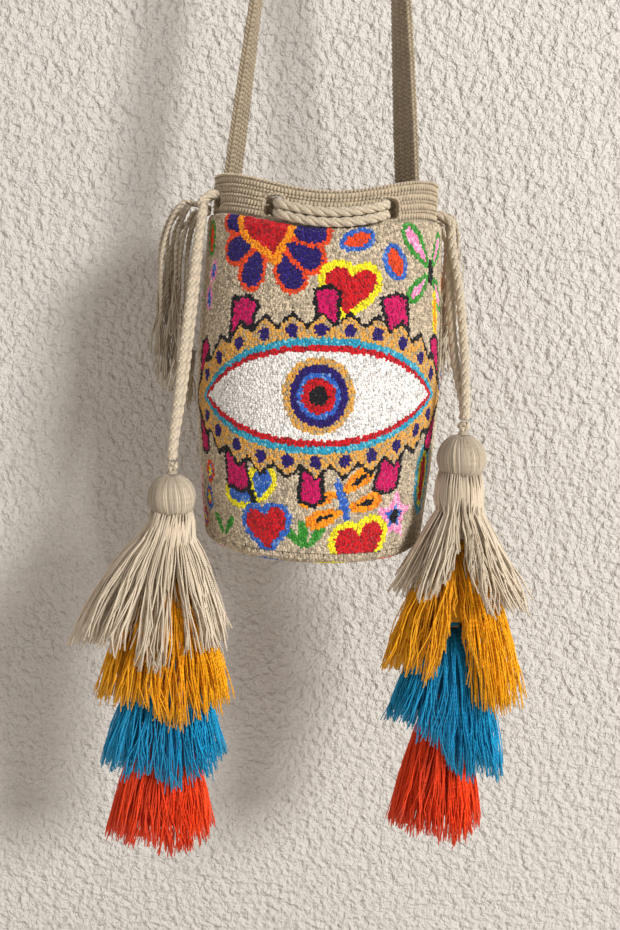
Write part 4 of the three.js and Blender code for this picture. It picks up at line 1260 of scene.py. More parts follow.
def make_crochet(context):
    settings = context.scene.mochila_crochet
    vertices, faces = crochet_shell()
    local = vertices / MM - BAG_ORIGIN
    angle = np.arctan2(local[:, 0] / 85, -local[:, 1] / 72)
    body = mesh_piece(
        "crochet_bucket_body", vertices, faces, crochet_material(),
        {"height": vertices[:, 2], "around": (angle / (2 * math.pi)) % 1},
    )
    cutters = [eyelet_cutter(a) for a in EYELET_ANGLES]
    for cutter in cutters:
        modifier = body.modifiers.new("eyelet", "BOOLEAN")
        modifier.object = cutter
        modifier.operation = "DIFFERENCE"
        modifier.solver = "EXACT"
    bpy.context.view_layer.update()
    mesh = bpy.data.meshes.new_from_object(body.evaluated_get(bpy.context.evaluated_depsgraph_get()))
    body.modifiers.clear()
    body.data = mesh
    for cutter in cutters:
        bpy.data.objects.remove(cutter)
    if len(mesh.polygons) < 4000:
        raise RuntimeError("the eyelets weren't cut")
    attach(body, "bag")
    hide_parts("crochet_bucket")

    shape = stitch_shape()
    rim = yarn_material("yarn_rim", shade_of("rim"), spread=0.22, mottle=0.2, fibre=0.6)
    pitch = settings.stitch / MM
    rng = np.random.default_rng(3)
    start = WALL_HEIGHT - RIB_COUNT * RIB_PITCH
    for side_name, outside in (("outside", True), ("inside", False)):
        points, turn, size = [], [], []
        rows = []
        for rib in range(RIB_COUNT):
            foot = start + rib * RIB_PITCH
            rows.append((foot + 2.4, 4.9, 2.5, 82.0, 0.25))
            rows.append((foot + 5.9, 3.2, 1.9, 33.0, 0.75))
        for h, length, width, lean, out in rows:
            if not outside:
                out = -WALL_THICKNESS - 0.1
            a = ring_steps(lambda t: wall_point(t, h, out), pitch, rng)
            a = a[eyelet_share(a, np.full(len(a), h)) > 0.95]
            along, up, normal = wall_frame(a, np.full(len(a), h))
            c, d = math.cos(math.radians(lean)), math.sin(math.radians(lean))
            place = wall_point(a, h, out)
            direction = along * c + up * d
            face = normal if outside else -normal
            points.append(to_frame(place))
            turn.append(turns(direction, face))
            size.append(np.tile([length * MM, width * MM, 1.9 * MM], (len(a), 1)))
        if outside:
            a = ring_steps(lambda t: wall_point(t, WALL_HEIGHT, -1.5), pitch, rng)
            along, up, normal = wall_frame(a, np.full(len(a), WALL_HEIGHT))
            for out in (-0.6, -2.3):
                points.append(to_frame(wall_point(a, WALL_HEIGHT - 0.9, out)))
                slant = 0.55 if out > -1 else -0.55
                turn.append(turns(along + slant * normal, up))
                size.append(np.tile([3.9 * MM, 2.2 * MM, 2.0 * MM], (len(a), 1)))
        points, turn, size = map(np.concatenate, (points, turn, size))
        piece = scatter(
            f"rim_stitches_{side_name}", points, turn, size, rng.random(len(points)), shape, rim,
            tilt=math.radians(6), spread=0.06, seed=5,
        )
        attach(piece, "bag")
        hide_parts("crochet_bucket")
    points, turn, size = [], [], []
    rim_line = oval(EYELET_WIDTH / 2 - EDGING + 0.4, EYELET_HEIGHT / 2 - 0.5 * EDGING + 0.4, 0, 3.2, 120)
    for eyelet in EYELET_ANGLES:
        middle = wall_point(math.radians(eyelet), EYELET_AT, 0)
        normal = flat_normal(math.radians(eyelet), EYELET_AT)
        up = np.array([0, 0, 1.0])
        across = np.cross(up, normal)
        line = np.array([across * x + up * y for x, y in rim_line])
        line = even_steps(np.concatenate([line, line[:1]]), 3.0)[:-1]
        ahead = unit(np.roll(line, -1, axis=0) - np.roll(line, 1, axis=0))
        curve = half_width(EYELET_AT)
        bent = (curve - np.sqrt(np.maximum(curve**2 - (line @ across) ** 2, 0)))[:, None]
        for depth in (0.3, -3.0):
            points.append(to_frame(middle + line + normal * (depth - bent)))
            facing = np.tile(normal if depth > 0 else -normal, (len(line), 1))
            turn.append(turns(ahead + 0.35 * normal, facing))
            size.append(np.tile([3.9 * MM, 2.3 * MM, 1.9 * MM], (len(line), 1)))
    points, turn, size = map(np.concatenate, (points, turn, size))
    shade = rng.random(len(points))
    piece = scatter("eyelet_edging", points, turn, size, shade, shape, rim, spread=0.06, seed=6)
    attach(piece, "bag")
    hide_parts("crochet_bucket")
    bpy.data.objects.remove(shape)


# Cords


def pivot_of(side):
    angle = math.radians(EYELET_ANGLES[0] if side == "left" else EYELET_ANGLES[3])
    rise = STACK_RISE if side == "left" else -STACK_RISE
    place = wall_point(angle, EYELET_AT, 0) + flat_normal(angle, EYELET_AT) * EXIT_REACH
    return place + np.array([0, 0, rise - EXIT_DROP])


def drawstring_route(side):
    """From one end at the pivot, round the neck through the eyelets, to the other end."""
    exit_angle = EYELET_ANGLES[0] if side == "left" else EYELET_ANGLES[3]
    rise = STACK_RISE if side == "left" else -STACK_RISE
    turn = math.radians(exit_angle)
    pivot, normal = pivot_of(side), flat_normal(turn, EYELET_AT)
    along_wall = np.array([-normal[1], normal[0], 0])
    hole = wall_point(turn, EYELET_AT, -WALL_THICKNESS / 2) + [0, 0, rise]
    strap_bow = 0.6 + (STRAP_WIDTH / 2) ** 2 / (2 * 60.0**2 / 84.4)
    inner_run, outer_run = 3 + strap_bow + STRAP_THICKNESS + 0.6 + 3.25, RIB_DEPTH + 0.3 + 3.25

    def end(way):
        apart = np.array([0, way * np.sign(along_wall[1]) * STACK_RISE, 0])
        bend = hole + normal * 0.6 * EXIT_REACH
        bend[2] = hole[2] - 1.6
        return [
            pivot + apart + [0, 0, 0.2],
            pivot + apart + [0, 0, 5.0],
            bend + apart,
            hole + along_wall * way * STACK_RISE,
        ]

    def outside(angle, middle):
        away = abs((angle - middle + 180) % 360 - 180)
        return float(smoothstep((FRONT_EYELET + CROSSING_SPAN - away) / (2 * CROSSING_SPAN)))

    route = end(1)
    steps = 60
    for k in range(steps + 1):
        angle = exit_angle + TURN_IN + (360 - 2 * TURN_IN) * k / steps
        share = max(outside(angle, FRONT_TURN), outside(angle, FRONT_TURN + 180))
        from_middle = (angle - FRONT_TURN + 180) % 360 - 180
        sag = CROSSING_SAG * max(0, 1 - (from_middle / FRONT_EYELET) ** 2)
        out = -inner_run + (inner_run + outer_run) * share + 0.5 * min(1, sag)
        place = wall_point(math.radians(angle), EYELET_AT - sag, out)
        route.append(place + [0, 0, rise])
    return route + end(-1)[::-1]


def make_cords(context):
    settings = context.scene.mochila_crochet
    material = yarn_material(
        "yarn_cord", shade_of("cord"), spread=0.2, mottle=0.2, fibre=0.9, twist=420.0, lines=3.0, sheen=0.3
    )
    for side in ("left", "right"):
        line = smooth_path(drawstring_route(side), 1.5)
        parts = rope_parts(to_frame(line), settings.cord, settings.cord_pitch, sides=7, phase=0.7)
        piece = yarn_piece(f"{side}_neck_drawstring", parts, material)
        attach(piece, "bag")
        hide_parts(f"{side}_drawstring")
        bead = np.array(TASSELS[side]["bead"], float)
        knot = bead + [0, 0, KNOT_ABOVE + KNOT_RADIUS + 0.45]
        for way, name, bow in zip((-1, 1), ("front", "back"), TASSELS[side]["bows"]):
            apart = np.array([0, way * STACK_RISE, 0])
            start, finish = pivot_of(side) + apart, knot + apart
            route = [start, start + (finish - start) * 0.08]
            for t in (0.35, 0.7):
                route.append(start + (finish - start) * t + [bow, 0, 0])
            route += [finish + [0, 0, 6.5], finish]
            line = to_frame(smooth_path(route, 1.4))
            parts = rope_parts(line, settings.cord, settings.cord_pitch, sides=7, phase=way)
            piece = yarn_piece(f"{side}_hanging_cord_{name}", parts, material)
            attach(piece, f"{side}_cords")
            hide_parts(f"{side}_cord_{name}")


# Strap


def strap_stations():
    """Middles and crossing directions along the whole strap, in the bag's own millimetres."""
    strap_bow = 0.6 + (STRAP_WIDTH / 2) ** 2 / (2 * 60.0**2 / 84.4)
    inside = -(WALL_THICKNESS + 0.3 + strap_bow + STRAP_THICKNESS / 2)
    crown_z = BASE_DROP + WALL_HEIGHT + STRAP_RISE
    reach = CROWN_RADIUS + STRAP_THICKNESS / 2

    def leg(name, side):
        turn = math.radians(STRAP_ANGLES[name])
        across = np.cross([0, 0, 1.0], flat_normal(turn, WALL_HEIGHT)) * side
        drops = (STRAP_SEWN, 21, 2)
        stations = [(wall_point(turn, WALL_HEIGHT - drop, inside), across, 0.0) for drop in drops]
        foot = wall_point(turn, WALL_HEIGHT, inside)
        head = np.array([side * reach, STRAP_BACK, crown_z - CROWN_RADIUS])
        for k in range(1, 11):
            t = k / 10
            middle = foot + (head - foot) * t
            middle[0] += side * STRAP_BULGE * math.sin(math.pi * t) * (1 - t)
            stations.append((middle, across, min(1, STRAP_TWISTS[name] * t)))
        return stations

    crown = []
    for turn in (150, 120, 90, 60, 30):
        a = math.radians(turn)
        middle = np.array([reach * math.cos(a), STRAP_BACK, reach * math.sin(a) + crown_z - CROWN_RADIUS])
        crown.append((middle, np.array([0, 1.0, 0]), 1.0))
    stations = leg("left", -1) + crown + leg("right", 1)[::-1]
    middles = np.array([m for m, _, _ in stations])
    blend = smoothstep(np.array([t for _, _, t in stations]))[:, None]
    across = np.array([a for _, a, _ in stations]) * (1 - blend) + np.array([0, 1.0, 0]) * blend
    return middles, across


def strap_line(step):
    """The strap's middle line in even steps, with its across and face directions."""
    middles, across = strap_stations()
    line = smooth_path(middles, step)
    away = np.concatenate([[0], np.cumsum(np.linalg.norm(np.diff(middles, axis=0), axis=1))])
    at = np.linspace(0, away[-1], len(line))
    side = np.stack([np.interp(at, away, across[:, i]) for i in range(3)], -1)
    tangent = unit(np.gradient(line, axis=0))
    side = unit(side - tangent * (side * tangent).sum(-1, keepdims=True))
    return line, tangent, side, np.cross(tangent, side)


def make_strap(context):
    settings = context.scene.mochila_crochet
    line, tangent, side, face = strap_line(3.0)
    w, t, e = STRAP_WIDTH / 2 - 0.8, STRAP_THICKNESS / 2 - 0.75, 1.4
    half_section = [(w - e, -t), (w, -t + e), (w, t - e), (w - e, t)]
    section = half_section + [(-x, -y) for x, y in half_section]
    rings = np.stack([line + side * a + face * b for a, b in section], 1)
    count, sides = len(line), len(section)
    i, k = np.meshgrid(np.arange(count - 1), np.arange(sides), indexing="ij")
    a, b = i * sides + k, i * sides + (k + 1) % sides
    quads = np.stack([a, b, b + sides, a + sides], -1).reshape(-1, 4)
    caps = [[list(range(sides))[::-1]], [list(range((count - 1) * sides, count * sides))]]
    # The core, seen only between the braid's stitches, is the strap colour at 0.55: painted shade in the
    # gaps.
    core_material = yarn_material("yarn_strap_core", tuple(0.55 * c for c in shade_of("strap")), spread=0.1)
    attributes = {"depth": np.ones(count * sides), "shade": np.full(count * sides, 0.5)}
    core = mesh_piece("strap_core", to_frame(rings.reshape(-1, 3)), [quads, *caps], core_material, attributes)
    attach(core, "bag")
    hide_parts("shoulder_strap")

    shape = stitch_shape()
    material = yarn_material("yarn_strap", shade_of("strap"), spread=0.25, mottle=0.15, fibre=0.6)
    pitch = settings.braid / MM
    line, tangent, side, face = strap_line(pitch)
    columns = settings.braid_columns
    width = (STRAP_WIDTH - 2.4) / columns
    rng = np.random.default_rng(9)
    for name, way in (("outer", 1.0), ("inner", -1.0)):
        points, turn, size = [], [], []
        for c in range(columns):
            across = (c + 0.5) * width - (STRAP_WIDTH - 2.4) / 2
            lean = 1 if c % 2 else -1
            shift = 0.25 * pitch * (c % 2)
            place = line + side * across + face * way * (STRAP_THICKNESS / 2 - 0.85) + tangent * shift
            points.append(to_frame(place))
            turn.append(turns(tangent * 0.62 + side * lean * 0.78, face * way))
            size.append(np.tile([5.2 * MM, 2.5 * MM, 1.9 * MM], (len(line), 1)))
        edge = way * (STRAP_WIDTH / 2 - 0.9)
        for lift in (-1.3, 1.3):
            shift = tangent * (0.25 * pitch * np.sign(lift))
            points.append(to_frame(line + side * edge + face * lift + shift))
            turn.append(turns(tangent * 0.8 + face * 0.6 * np.sign(lift), side * way))
            size.append(np.tile([4.6 * MM, 2.7 * MM, 1.9 * MM], (len(line), 1)))
        points, turn, size = map(np.concatenate, (points, turn, size))
        piece = scatter(
            f"strap_braid_{name}", points, turn, size, rng.random(len(points)), shape, material,
            tilt=math.radians(5), spread=0.05, seed=8,
        )
        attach(piece, "bag")
        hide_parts("shoulder_strap")
    bpy.data.objects.remove(shape)


# Fringe and knots


def knot_line(middle, radius, yarn, turns_round=3, lean=0.0):
    """A closed trefoil that fills a ball of this radius."""
    t = np.linspace(0, 2 * math.pi, 90)
    x = np.sin(t) + 2 * np.sin(2 * t)
    y = np.cos(t) - 2 * np.cos(2 * t)
    z = -np.sin(3 * t)
    line = np.stack([x / 3, z * 0.62, y / 3], -1) * (radius - yarn)
    c, d = math.cos(lean), math.sin(lean)
    line = line @ np.array([[c, d, 0], [-d, c, 0], [0, 0, 1]])
    return line + middle


def frayed_tips(line, count, length, radius, rng, spread=0.22):
    """Loose yarns that fan out of the end of a cord, in metres."""
    end, ahead = line[-1], unit(line[-1] - line[-4])
    ahead = unit(ahead + [0, 0, -0.8])
    side = unit(np.cross(ahead, [0.3, 1, 0.2]))
    other = np.cross(ahead, side)
    t = np.linspace(0, 1, 7)
    paths = []
    for _ in range(count):
        a, r = rng.uniform(0, 2 * math.pi), rng.uniform(0.15, 1.0)
        out = side * math.cos(a) + other * math.sin(a)
        reach = length * rng.uniform(0.55, 1.0)
        wave = rng.normal(0, 0.06, 2)
        path = end - ahead * 0.004 + ahead * (reach * t)[:, None]
        path = path + out * (spread * r * reach * t**1.4)[:, None]
        path = path + side * (wave[0] * reach * np.sin(5 * t + a))[:, None]
        path = path + other * (wave[1] * reach * np.sin(6 * t))[:, None]
        path[:, 2] -= 0.15 * reach * t**2
        paths.append(path)
    paths = np.array(paths)
    return tubes(paths, radius, 3, np.broadcast_to(side, paths.shape))


def make_fringe(context):
    settings = context.scene.mochila_crochet
    material = yarn_material("yarn_fringe", shade_of("cord"), spread=0.3, mottle=0.3, fibre=0.8, twist=700.0)
    for side, (angle, cords) in FRINGES.items():
        rng = np.random.default_rng(21 if side == "left" else 22)
        turn = math.radians(angle)
        at = WALL_HEIGHT - 24
        normal = flat_normal(turn, at)
        along_wall = np.array([-normal[1], normal[0], 0])
        root = wall_point(turn, at, RIB_DEPTH + 0.3 + FRINGE_KNOT_RADIUS)
        line = to_frame(knot_line(root, FRINGE_KNOT_RADIUS, 1.7, lean=turn))
        parts = [rope_parts(line, 0.0034, 0.011, plies=2, sides=6)]
        for i, (out, along, drop) in enumerate(cords + FRINGE_EXTRA[side]):
            a, z = FRINGE_ROOTS[i % len(FRINGE_ROOTS)]

            def place(o, b, dz):
                return root + normal * o + along_wall * b + [0, 0, dz]

            route = [
                place(0.3 * FRINGE_KNOT_RADIUS, a, z),
                place(0.5 * out, 0.5 * along + 1.5 * a, 2 * z),
                place(0.93 * out, 0.8 * along + a, 0.3 * drop),
                place(out, along, drop),
            ]
            line = to_frame(smooth_path(route, 1.0))
            parts.append(rope_parts(line, settings.fringe, 0.009, plies=2, sides=6, phase=i))
            parts.append(frayed_tips(line, 18, FRAY_LENGTH[side], 0.0006, rng))
        parts = joined(parts)
        piece = yarn_piece(f"{side}_strap_fringe", parts, material, rng.random(len(parts[0])) * 0.3 + 0.35)
        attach(piece, "bag")
        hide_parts(f"strap_fringe_{side}")


# Tassels


def hem_at(turn, tier):
    """Height of a tier's hem, and degrees from the front."""
    front = (np.degrees(turn) + 270) % 360 - 180
    ragged = tier["hem"] * (1.6 + np.sin(3 * turn + 2) + 0.6 * np.sin(7 * turn + 1))
    parted = 0.8 * tier["parting"] * np.exp(-((front / PARTING_WIDTH) ** 2))
    return tier["bottom"] + ragged + parted + tier["slant"] * (1 - np.cos(turn)), front


def skirt_point(tier, turn, z, share=1.0):
    """A place in a tier's skirt at its height, share 1 on the outer face."""
    spread = np.clip((tier["foot"] - z) / (tier["foot"] - tier["bottom"]), 0, 1.2) ** tier["power"]
    r = (NECK_RADIUS + (tier["half"] - NECK_RADIUS) * spread) * share
    deep = 1 + (DEPTH_SHARE - 1) * spread
    x = tier["shift"][0] * spread + r * np.cos(turn)
    y = tier["shift"][1] * spread + r * deep * np.sin(turn)
    return np.stack([x, y, z], -1)


HELD_OUT = 18.5  # radius at which the yarns from the ball's underside start down


def skirt_strands(bead, tier, count, diameter, rng, over=0.0, split=None):
    """The yarns of one tier in wavy locks, from the tie to the hem, in metres. Some start over the ball."""
    steps = 9
    locks = count // 9
    start = (np.arange(count) + rng.uniform(-2, 2, count)) / count * 2 * math.pi
    lock_turn = (np.arange(locks) + rng.uniform(-0.4, 0.4, locks)) / locks * 2 * math.pi
    lock = np.floor(np.arange(count) / count * locks).astype(int)
    gather = rng.uniform(-0.3, 0.5, locks)[lock]
    tip = start + (lock_turn[lock] - start) * gather
    tip = tip + rng.normal(0, 0.06, locks)[lock] + rng.normal(0, 0.07, count)
    share = 1 - 0.45 * rng.random(count) ** 1.6 - 0.12 * rng.random(locks)[lock]
    hem, front = hem_at(tip, tier)
    hem = hem + rng.normal(0, 2.6, locks)[lock] + rng.normal(0, 1.8, count)
    if tier["parting"]:
        tip = tip + np.sign(front) * 0.07 * np.exp(-((front / 28) ** 2))
    if split:
        away = (front - split[0] + 180) % 360 - 180
        tip = tip + np.sign(away) * split[1] * np.exp(-((away / 20) ** 2))
    t = np.linspace(0, 1, steps)[None] ** 1.35
    first = tier["neck"] + 1.5
    z = first + (hem - first)[:, None] * t
    reach = tier["half"]
    phase = rng.random((locks, 1))[lock]
    wave = rng.normal(0, 2.8 / reach, (locks, 1))[lock] * np.sin(2 * math.pi * (1.3 * t + phase))
    own = rng.normal(0, 2.4 / reach, (count, 1))
    own = own * np.sin(2 * math.pi * (rng.uniform(0.8, 2.2, (count, 1)) * t + rng.random((count, 1))))
    a = start[:, None] + (tip - start)[:, None] * smoothstep(1.15 * t) + (wave + own) * np.sqrt(t)
    swell = share[:, None] + rng.normal(0, 0.03, (count, 1)) * np.sin(6 * t + 9 * phase)
    swell = np.where(t < 0.05, np.minimum(swell, 0.94), np.minimum(swell, 1.04))
    points = skirt_point(tier, a, z, swell)
    outside = rng.random(count) < over
    polar = np.radians(rng.uniform(122, 138, count))
    ball = BALL_RADIUS + 0.3
    ring = ball * np.sin(polar)
    top = np.stack([ring * np.cos(start), ring * np.sin(start), ball * np.cos(polar)], -1)
    hold = np.where(outside[:, None], HELD_OUT * (1 - smoothstep((t - 0.12) / 0.5)), 0)
    away = np.hypot(points[..., 0], points[..., 1])
    points[..., :2] *= (np.maximum(away, hold) / away)[..., None]
    settle = np.where(outside[:, None], smoothstep(t / 0.1), 1.0)[..., None]
    points = top[:, None] * (1 - settle) + points * settle
    points = to_frame(points + np.asarray(bead, float))
    reference = np.stack([np.cos(a), np.sin(a), 0 * a], -1)
    thick = diameter / 2 * rng.uniform(0.8, 1.15, (count, 1)) * (1 + 0 * t)
    shade = 0.45 * rng.random(locks)[lock] + 0.55 * rng.random(count)
    return tubes(points, thick, 3, reference), np.repeat(shade, steps * 3)


def skirt_core(bead, tier, end):
    """A filling under the yarns down to a share of the skirt's height, open below; make_tassels colours it
    darker as painted shade for the tassel's inside.
    """
    count = 40
    turn = np.linspace(0, 2 * math.pi, count, endpoint=False)
    rings = []
    for t, share in ((0, 0.5), (0.15, 0.5), (0.5, 0.5), (1.0, 0.5), (0.97, 0.4), (0.5, 0.3), (0.15, 0.2)):
        z = tier["neck"] - 1 + (tier["bottom"] - tier["neck"] + 1) * t * end
        rings.append(to_frame(skirt_point(tier, turn, z + 0 * turn, share) + np.asarray(bead, float)))
    vertices = np.concatenate(rings)
    k = np.arange(count)
    quads = []
    for r in range(len(rings)):
        a, b = r * count + k, r * count + (k + 1) % count
        c, d = ((r + 1) % len(rings)) * count + (k + 1) % count, ((r + 1) % len(rings)) * count + k
        quads.append(np.stack([d, c, b, a], -1))
    away = np.repeat(np.arange(len(rings)) * 0.02, count)
    return vertices, quads, away, np.tile(k / count, len(rings))


BALL_YARNS, BALL_STEPS = 180, 11


def ball_parts(bead, rng):
    """Yarns laid over the bead from pole to pole, over a smooth ball."""
    bead = np.asarray(bead, float)
    count, steps = BALL_YARNS, BALL_STEPS
    a = (np.arange(count) + rng.uniform(-0.4, 0.4, count)) / count * 2 * math.pi
    polar = np.radians(np.linspace(9, 164, steps))[None]
    turn = a[:, None] + rng.normal(0, 0.04, (count, 1)) * np.sin(polar) + 0.35 * (polar / math.pi - 0.5)
    radius = BALL_RADIUS - 0.35 + rng.uniform(-0.15, 0.25, (count, 1))
    ring = np.maximum(np.sin(polar) * radius, 2.2)
    points = np.stack([ring * np.cos(turn), ring * np.sin(turn), radius * np.cos(polar) + 0 * turn], -1)
    reference = unit(points)
    return tubes(to_frame(points + bead), 0.00048, 3, reference)


def round_body(bead, rings, count=36):
    """A closed round body from (radius, height) rings with points at both ends."""
    a = 2 * math.pi * np.arange(count) / count
    bead = np.asarray(bead, float)
    vertices, quads = [], []
    for r, z in rings[1:-1]:
        vertices.append(np.stack([r * np.cos(a), r * np.sin(a), 0 * a + z], -1) + bead)
    k = np.arange(count)
    n = (len(rings) - 2) * count
    for i in range(len(rings) - 3):
        p, q = i * count + k, i * count + (k + 1) % count
        quads.append(np.stack([p, p + count, q + count, q], -1))
    vertices.append([bead + [0, 0, rings[0][1]], bead + [0, 0, rings[-1][1]]])
    top = np.stack([k, (k + 1) % count, np.full(count, n)], -1)
    low = (len(rings) - 3) * count
    bottom = np.stack([low + (k + 1) % count, low + k, np.full(count, n + 1)], -1)
    vertices = to_frame(np.concatenate(vertices))
    return vertices, [*quads, top, bottom], np.zeros(len(vertices)), np.zeros(len(vertices))


def coil(bead, z, radius, yarn, rounds, height):
    """A yarn wound round a neck."""
    t = np.linspace(0, 1, rounds * 26)
    a = 2 * math.pi * rounds * t
    line = np.stack([radius * np.cos(a), radius * np.sin(a), z + height * (t - 0.5)], -1)
    line = line + np.asarray(bead, float)
    line = to_frame(line)[None]
    reference = np.stack([np.cos(a), np.sin(a), 0 * a], -1)[None]
    return tubes(line, yarn * MM / 2, 5, reference)


def head_parts(bead, tier, rng):
    """The head of a coloured tier: a barrel of yarns over its tie."""
    top = tier["top"]
    rings = [
        (0, top + 0.4), (0.55 * HEAD_RADIUS, top), (0.95 * HEAD_RADIUS, top - 2), (HEAD_RADIUS, top - 4.5),
        (6.6, top - 6.6), (6.2, top - 7.5), (0, top - 8),
    ]
    return round_body(bead, rings, 24)


BALL_FILL = 17.55  # radius of the smooth ball under its yarns
LEFT_SPLIT = (30.0, 0.12)  # degrees from the front, and how far the yarns part there
TIER_YARN = {"beige": "sand", "yellow": "sun", "teal": "teal", "red": "scarlet"}


def make_tassels(context):
    settings = context.scene.mochila_tassels
    for side, tassel in TASSELS.items():
        bead, body = tassel["bead"], f"{side}_tassel"
        for index, (name, shares) in enumerate(tassel["tiers"].items()):
            tier = tier_sizes(shares)
            rng = np.random.default_rng(settings.seed + index + (10 if side == "right" else 0))
            beige = name == "beige"
            count = settings.beige_strands if beige else settings.colour_strands
            diameter = settings.beige_yarn if beige else settings.colour_yarn
            material = yarn_material(
                "yarn_tassel_" + name, shade_of(TIER_YARN[name]), spread=0.36, mottle=0.15,
                fibre=0.6, twist=600.0 if beige else 300.0, roughness=0.85 if beige else 0.65, sheen=0.1,
            )
            split = LEFT_SPLIT if side == "left" and beige else None
            pieces = [skirt_strands(bead, tier, count, diameter, rng, 0.6 if beige else 0.0, split)]
            core = skirt_core(bead, tier, 0.85 if name == "red" else 0.4)
            # Shade -0.3 makes the filling darker than its yarns: painted shade for the tassel's inside.
            pieces.append((core, np.full(len(core[0]), -0.3)))
            if beige:
                rings = [(0, 17.9)]
                polar = [math.radians(p) for p in range(10, 170, 12)]
                rings += [(BALL_FILL * math.sin(p), BALL_FILL * math.cos(p)) for p in polar]
                rings += [(5.6, -18.5), (5.2, -20), (0, -20.5)]
                ball = round_body(bead, rings)
                pieces.append((ball, np.full(len(ball[0]), 0.1)))
                wraps = ball_parts(bead, rng)
                pieces.append((wraps, np.repeat(0.8 * rng.random(BALL_YARNS) - 0.6, BALL_STEPS * 3)))
            else:
                head = head_parts(bead, tier, rng)
                pieces.append((head, np.full(len(head[0]), 0.4)))
            whole = joined([p for p, _ in pieces])
            shade = np.concatenate([s for _, s in pieces])
            piece = yarn_piece(f"{side}_tassel_{name}_yarn", whole, material, shade)
            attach(piece, body)
            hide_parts(f"{side}_{name}_tier")


def make_ties(context):
    cord = yarn_material("yarn_fringe", shade_of("cord"), spread=0.3, mottle=0.3, fibre=0.8, twist=700.0)
    thread = yarn_material(
        "yarn_thread", shade_of("thread"), spread=0.2, fibre=0.5, twist=900.0, roughness=0.5, sheen=0.2
    )
    for side, tassel in TASSELS.items():
        bead, body = tassel["bead"], f"{side}_tassel"
        for name, shares in tassel["tiers"].items():
            z = tier_sizes(shares)["neck"]
            if name == "beige":
                parts = coil(bead, z, NECK_RADIUS + 1.3, 1.1, 3, 2.4)
            else:
                parts = coil(bead, z, NECK_RADIUS + 1.0, 0.8, 6, 3.6)
            piece = yarn_piece(f"{side}_{name}_binding", parts, cord if name == "beige" else thread)
            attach(piece, body)
            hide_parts(f"{side}_{name}_tie")
        middle = np.asarray(bead, float) + [0, 0, KNOT_ABOVE]
        line = to_frame(knot_line(middle, KNOT_RADIUS, 1.9))
        parts = [rope_parts(line, 0.0038, 0.012, plies=2, sides=6), coil(bead, 18.6, 3.0, 1.6, 2, 2.6)]
        piece = yarn_piece(f"{side}_tassel_knot", joined(parts), cord)
        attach(piece, body)
        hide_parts(f"{side}_knot")
        wood = wood_material()
        for node, material in ((f"{side}_bead", wood), (f"{side}_core_cord", cord)):
            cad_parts[node].data.materials.clear()
            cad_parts[node].data.materials.append(material)


def wood_material():
    material = bpy.data.materials.get("bead_wood")
    if material:
        return material
    material = bpy.data.materials.new("bead_wood")
    material.use_nodes = True
    tree = material.node_tree
    make = node_helper(tree)
    shader = tree.nodes["Principled BSDF"]
    place = make("ShaderNodeTexCoord").outputs["Object"]
    grain = make("ShaderNodeTexNoise", {"Vector": place, "Scale": 300.0, "Detail": 4.0, "Distortion": 1.5})
    ramp = make("ShaderNodeValToRGB", {"Fac": grain.outputs["Fac"]})
    wood = shade_of("wood")
    ramp.color_ramp.elements[0].color = (*[0.55 * c for c in wood], 1)
    ramp.color_ramp.elements[1].color = (*wood, 1)
    tree.links.new(ramp.outputs[0], shader.inputs["Base Color"])
    shader.inputs["Roughness"].default_value = 0.55
    return material


# Stage


def make_view(context):
    camera = bpy.data.cameras.new("photo_camera")
    camera.lens = 33.1
    camera.sensor_width = 36
    viewer = bpy.data.objects.new("photo_camera", camera)
    bpy.context.scene.collection.objects.link(viewer)
    tilt, roll = math.radians(9), math.radians(2.3)
    ahead = np.array([0, math.cos(tilt), -math.sin(tilt)])
    up0 = np.array([0, math.sin(tilt), math.cos(tilt)])
    right = math.cos(roll) * np.array([1, 0, 0]) + math.sin(roll) * up0
    up = -math.sin(roll) * np.array([1, 0, 0]) + math.cos(roll) * up0
    matrix = Matrix.Identity(4)
    for i in range(3):
        matrix[i][0], matrix[i][1], matrix[i][2] = right[i], up[i], -ahead[i]
    matrix.translation = (-0.0041, -0.702, -0.612)
    viewer.matrix_world = matrix
    bpy.context.scene.camera = viewer


def plaster_material(name, colour, see_through):
    material = bpy.data.materials.new(name)
    material.use_nodes = True
    tree = material.node_tree
    make = node_helper(tree)
    shader = tree.nodes["Principled BSDF"]
    shader.inputs["Roughness"].default_value = 0.95
    shader.inputs["Specular IOR Level"].default_value = 0.1
    place = make("ShaderNodeTexCoord").outputs["Object"]
    coarse = make("ShaderNodeTexNoise", {"Vector": place, "Scale": 150.0, "Detail": 3.0, "Roughness": 0.55})
    slow = make("ShaderNodeTexNoise", {"Vector": place, "Scale": 4.0, "Detail": 2.0})
    mix = make("ShaderNodeMix", data_type="RGBA")
    enabled(mix.inputs, "A").default_value = (*[0.93 * c for c in colour], 1)
    enabled(mix.inputs, "B").default_value = (*colour, 1)
    tree.links.new(slow.outputs["Fac"], enabled(mix.inputs, "Factor"))
    tree.links.new(enabled(mix.outputs, "Result"), shader.inputs["Base Color"])
    strength = 1.0 if see_through else 0.25
    bump = make(
        "ShaderNodeBump", {"Strength": strength, "Distance": 0.009, "Height": coarse.outputs["Fac"]}
    )
    tree.links.new(bump.outputs[0], shader.inputs["Normal"])
    if see_through:
        light_path, geometry = make("ShaderNodeLightPath"), make("ShaderNodeNewGeometry")
        passed = {0: light_path.outputs["Is Shadow Ray"], 1: geometry.outputs["Backfacing"]}
        either = make("ShaderNodeMath", passed, operation="MAXIMUM")
        clear = make("ShaderNodeBsdfTransparent")
        blend = make("ShaderNodeMixShader", {0: either.outputs[0], 1: shader.outputs[0], 2: clear.outputs[0]})
        tree.links.new(blend.outputs[0], tree.nodes["Material Output"].inputs["Surface"])
    return material


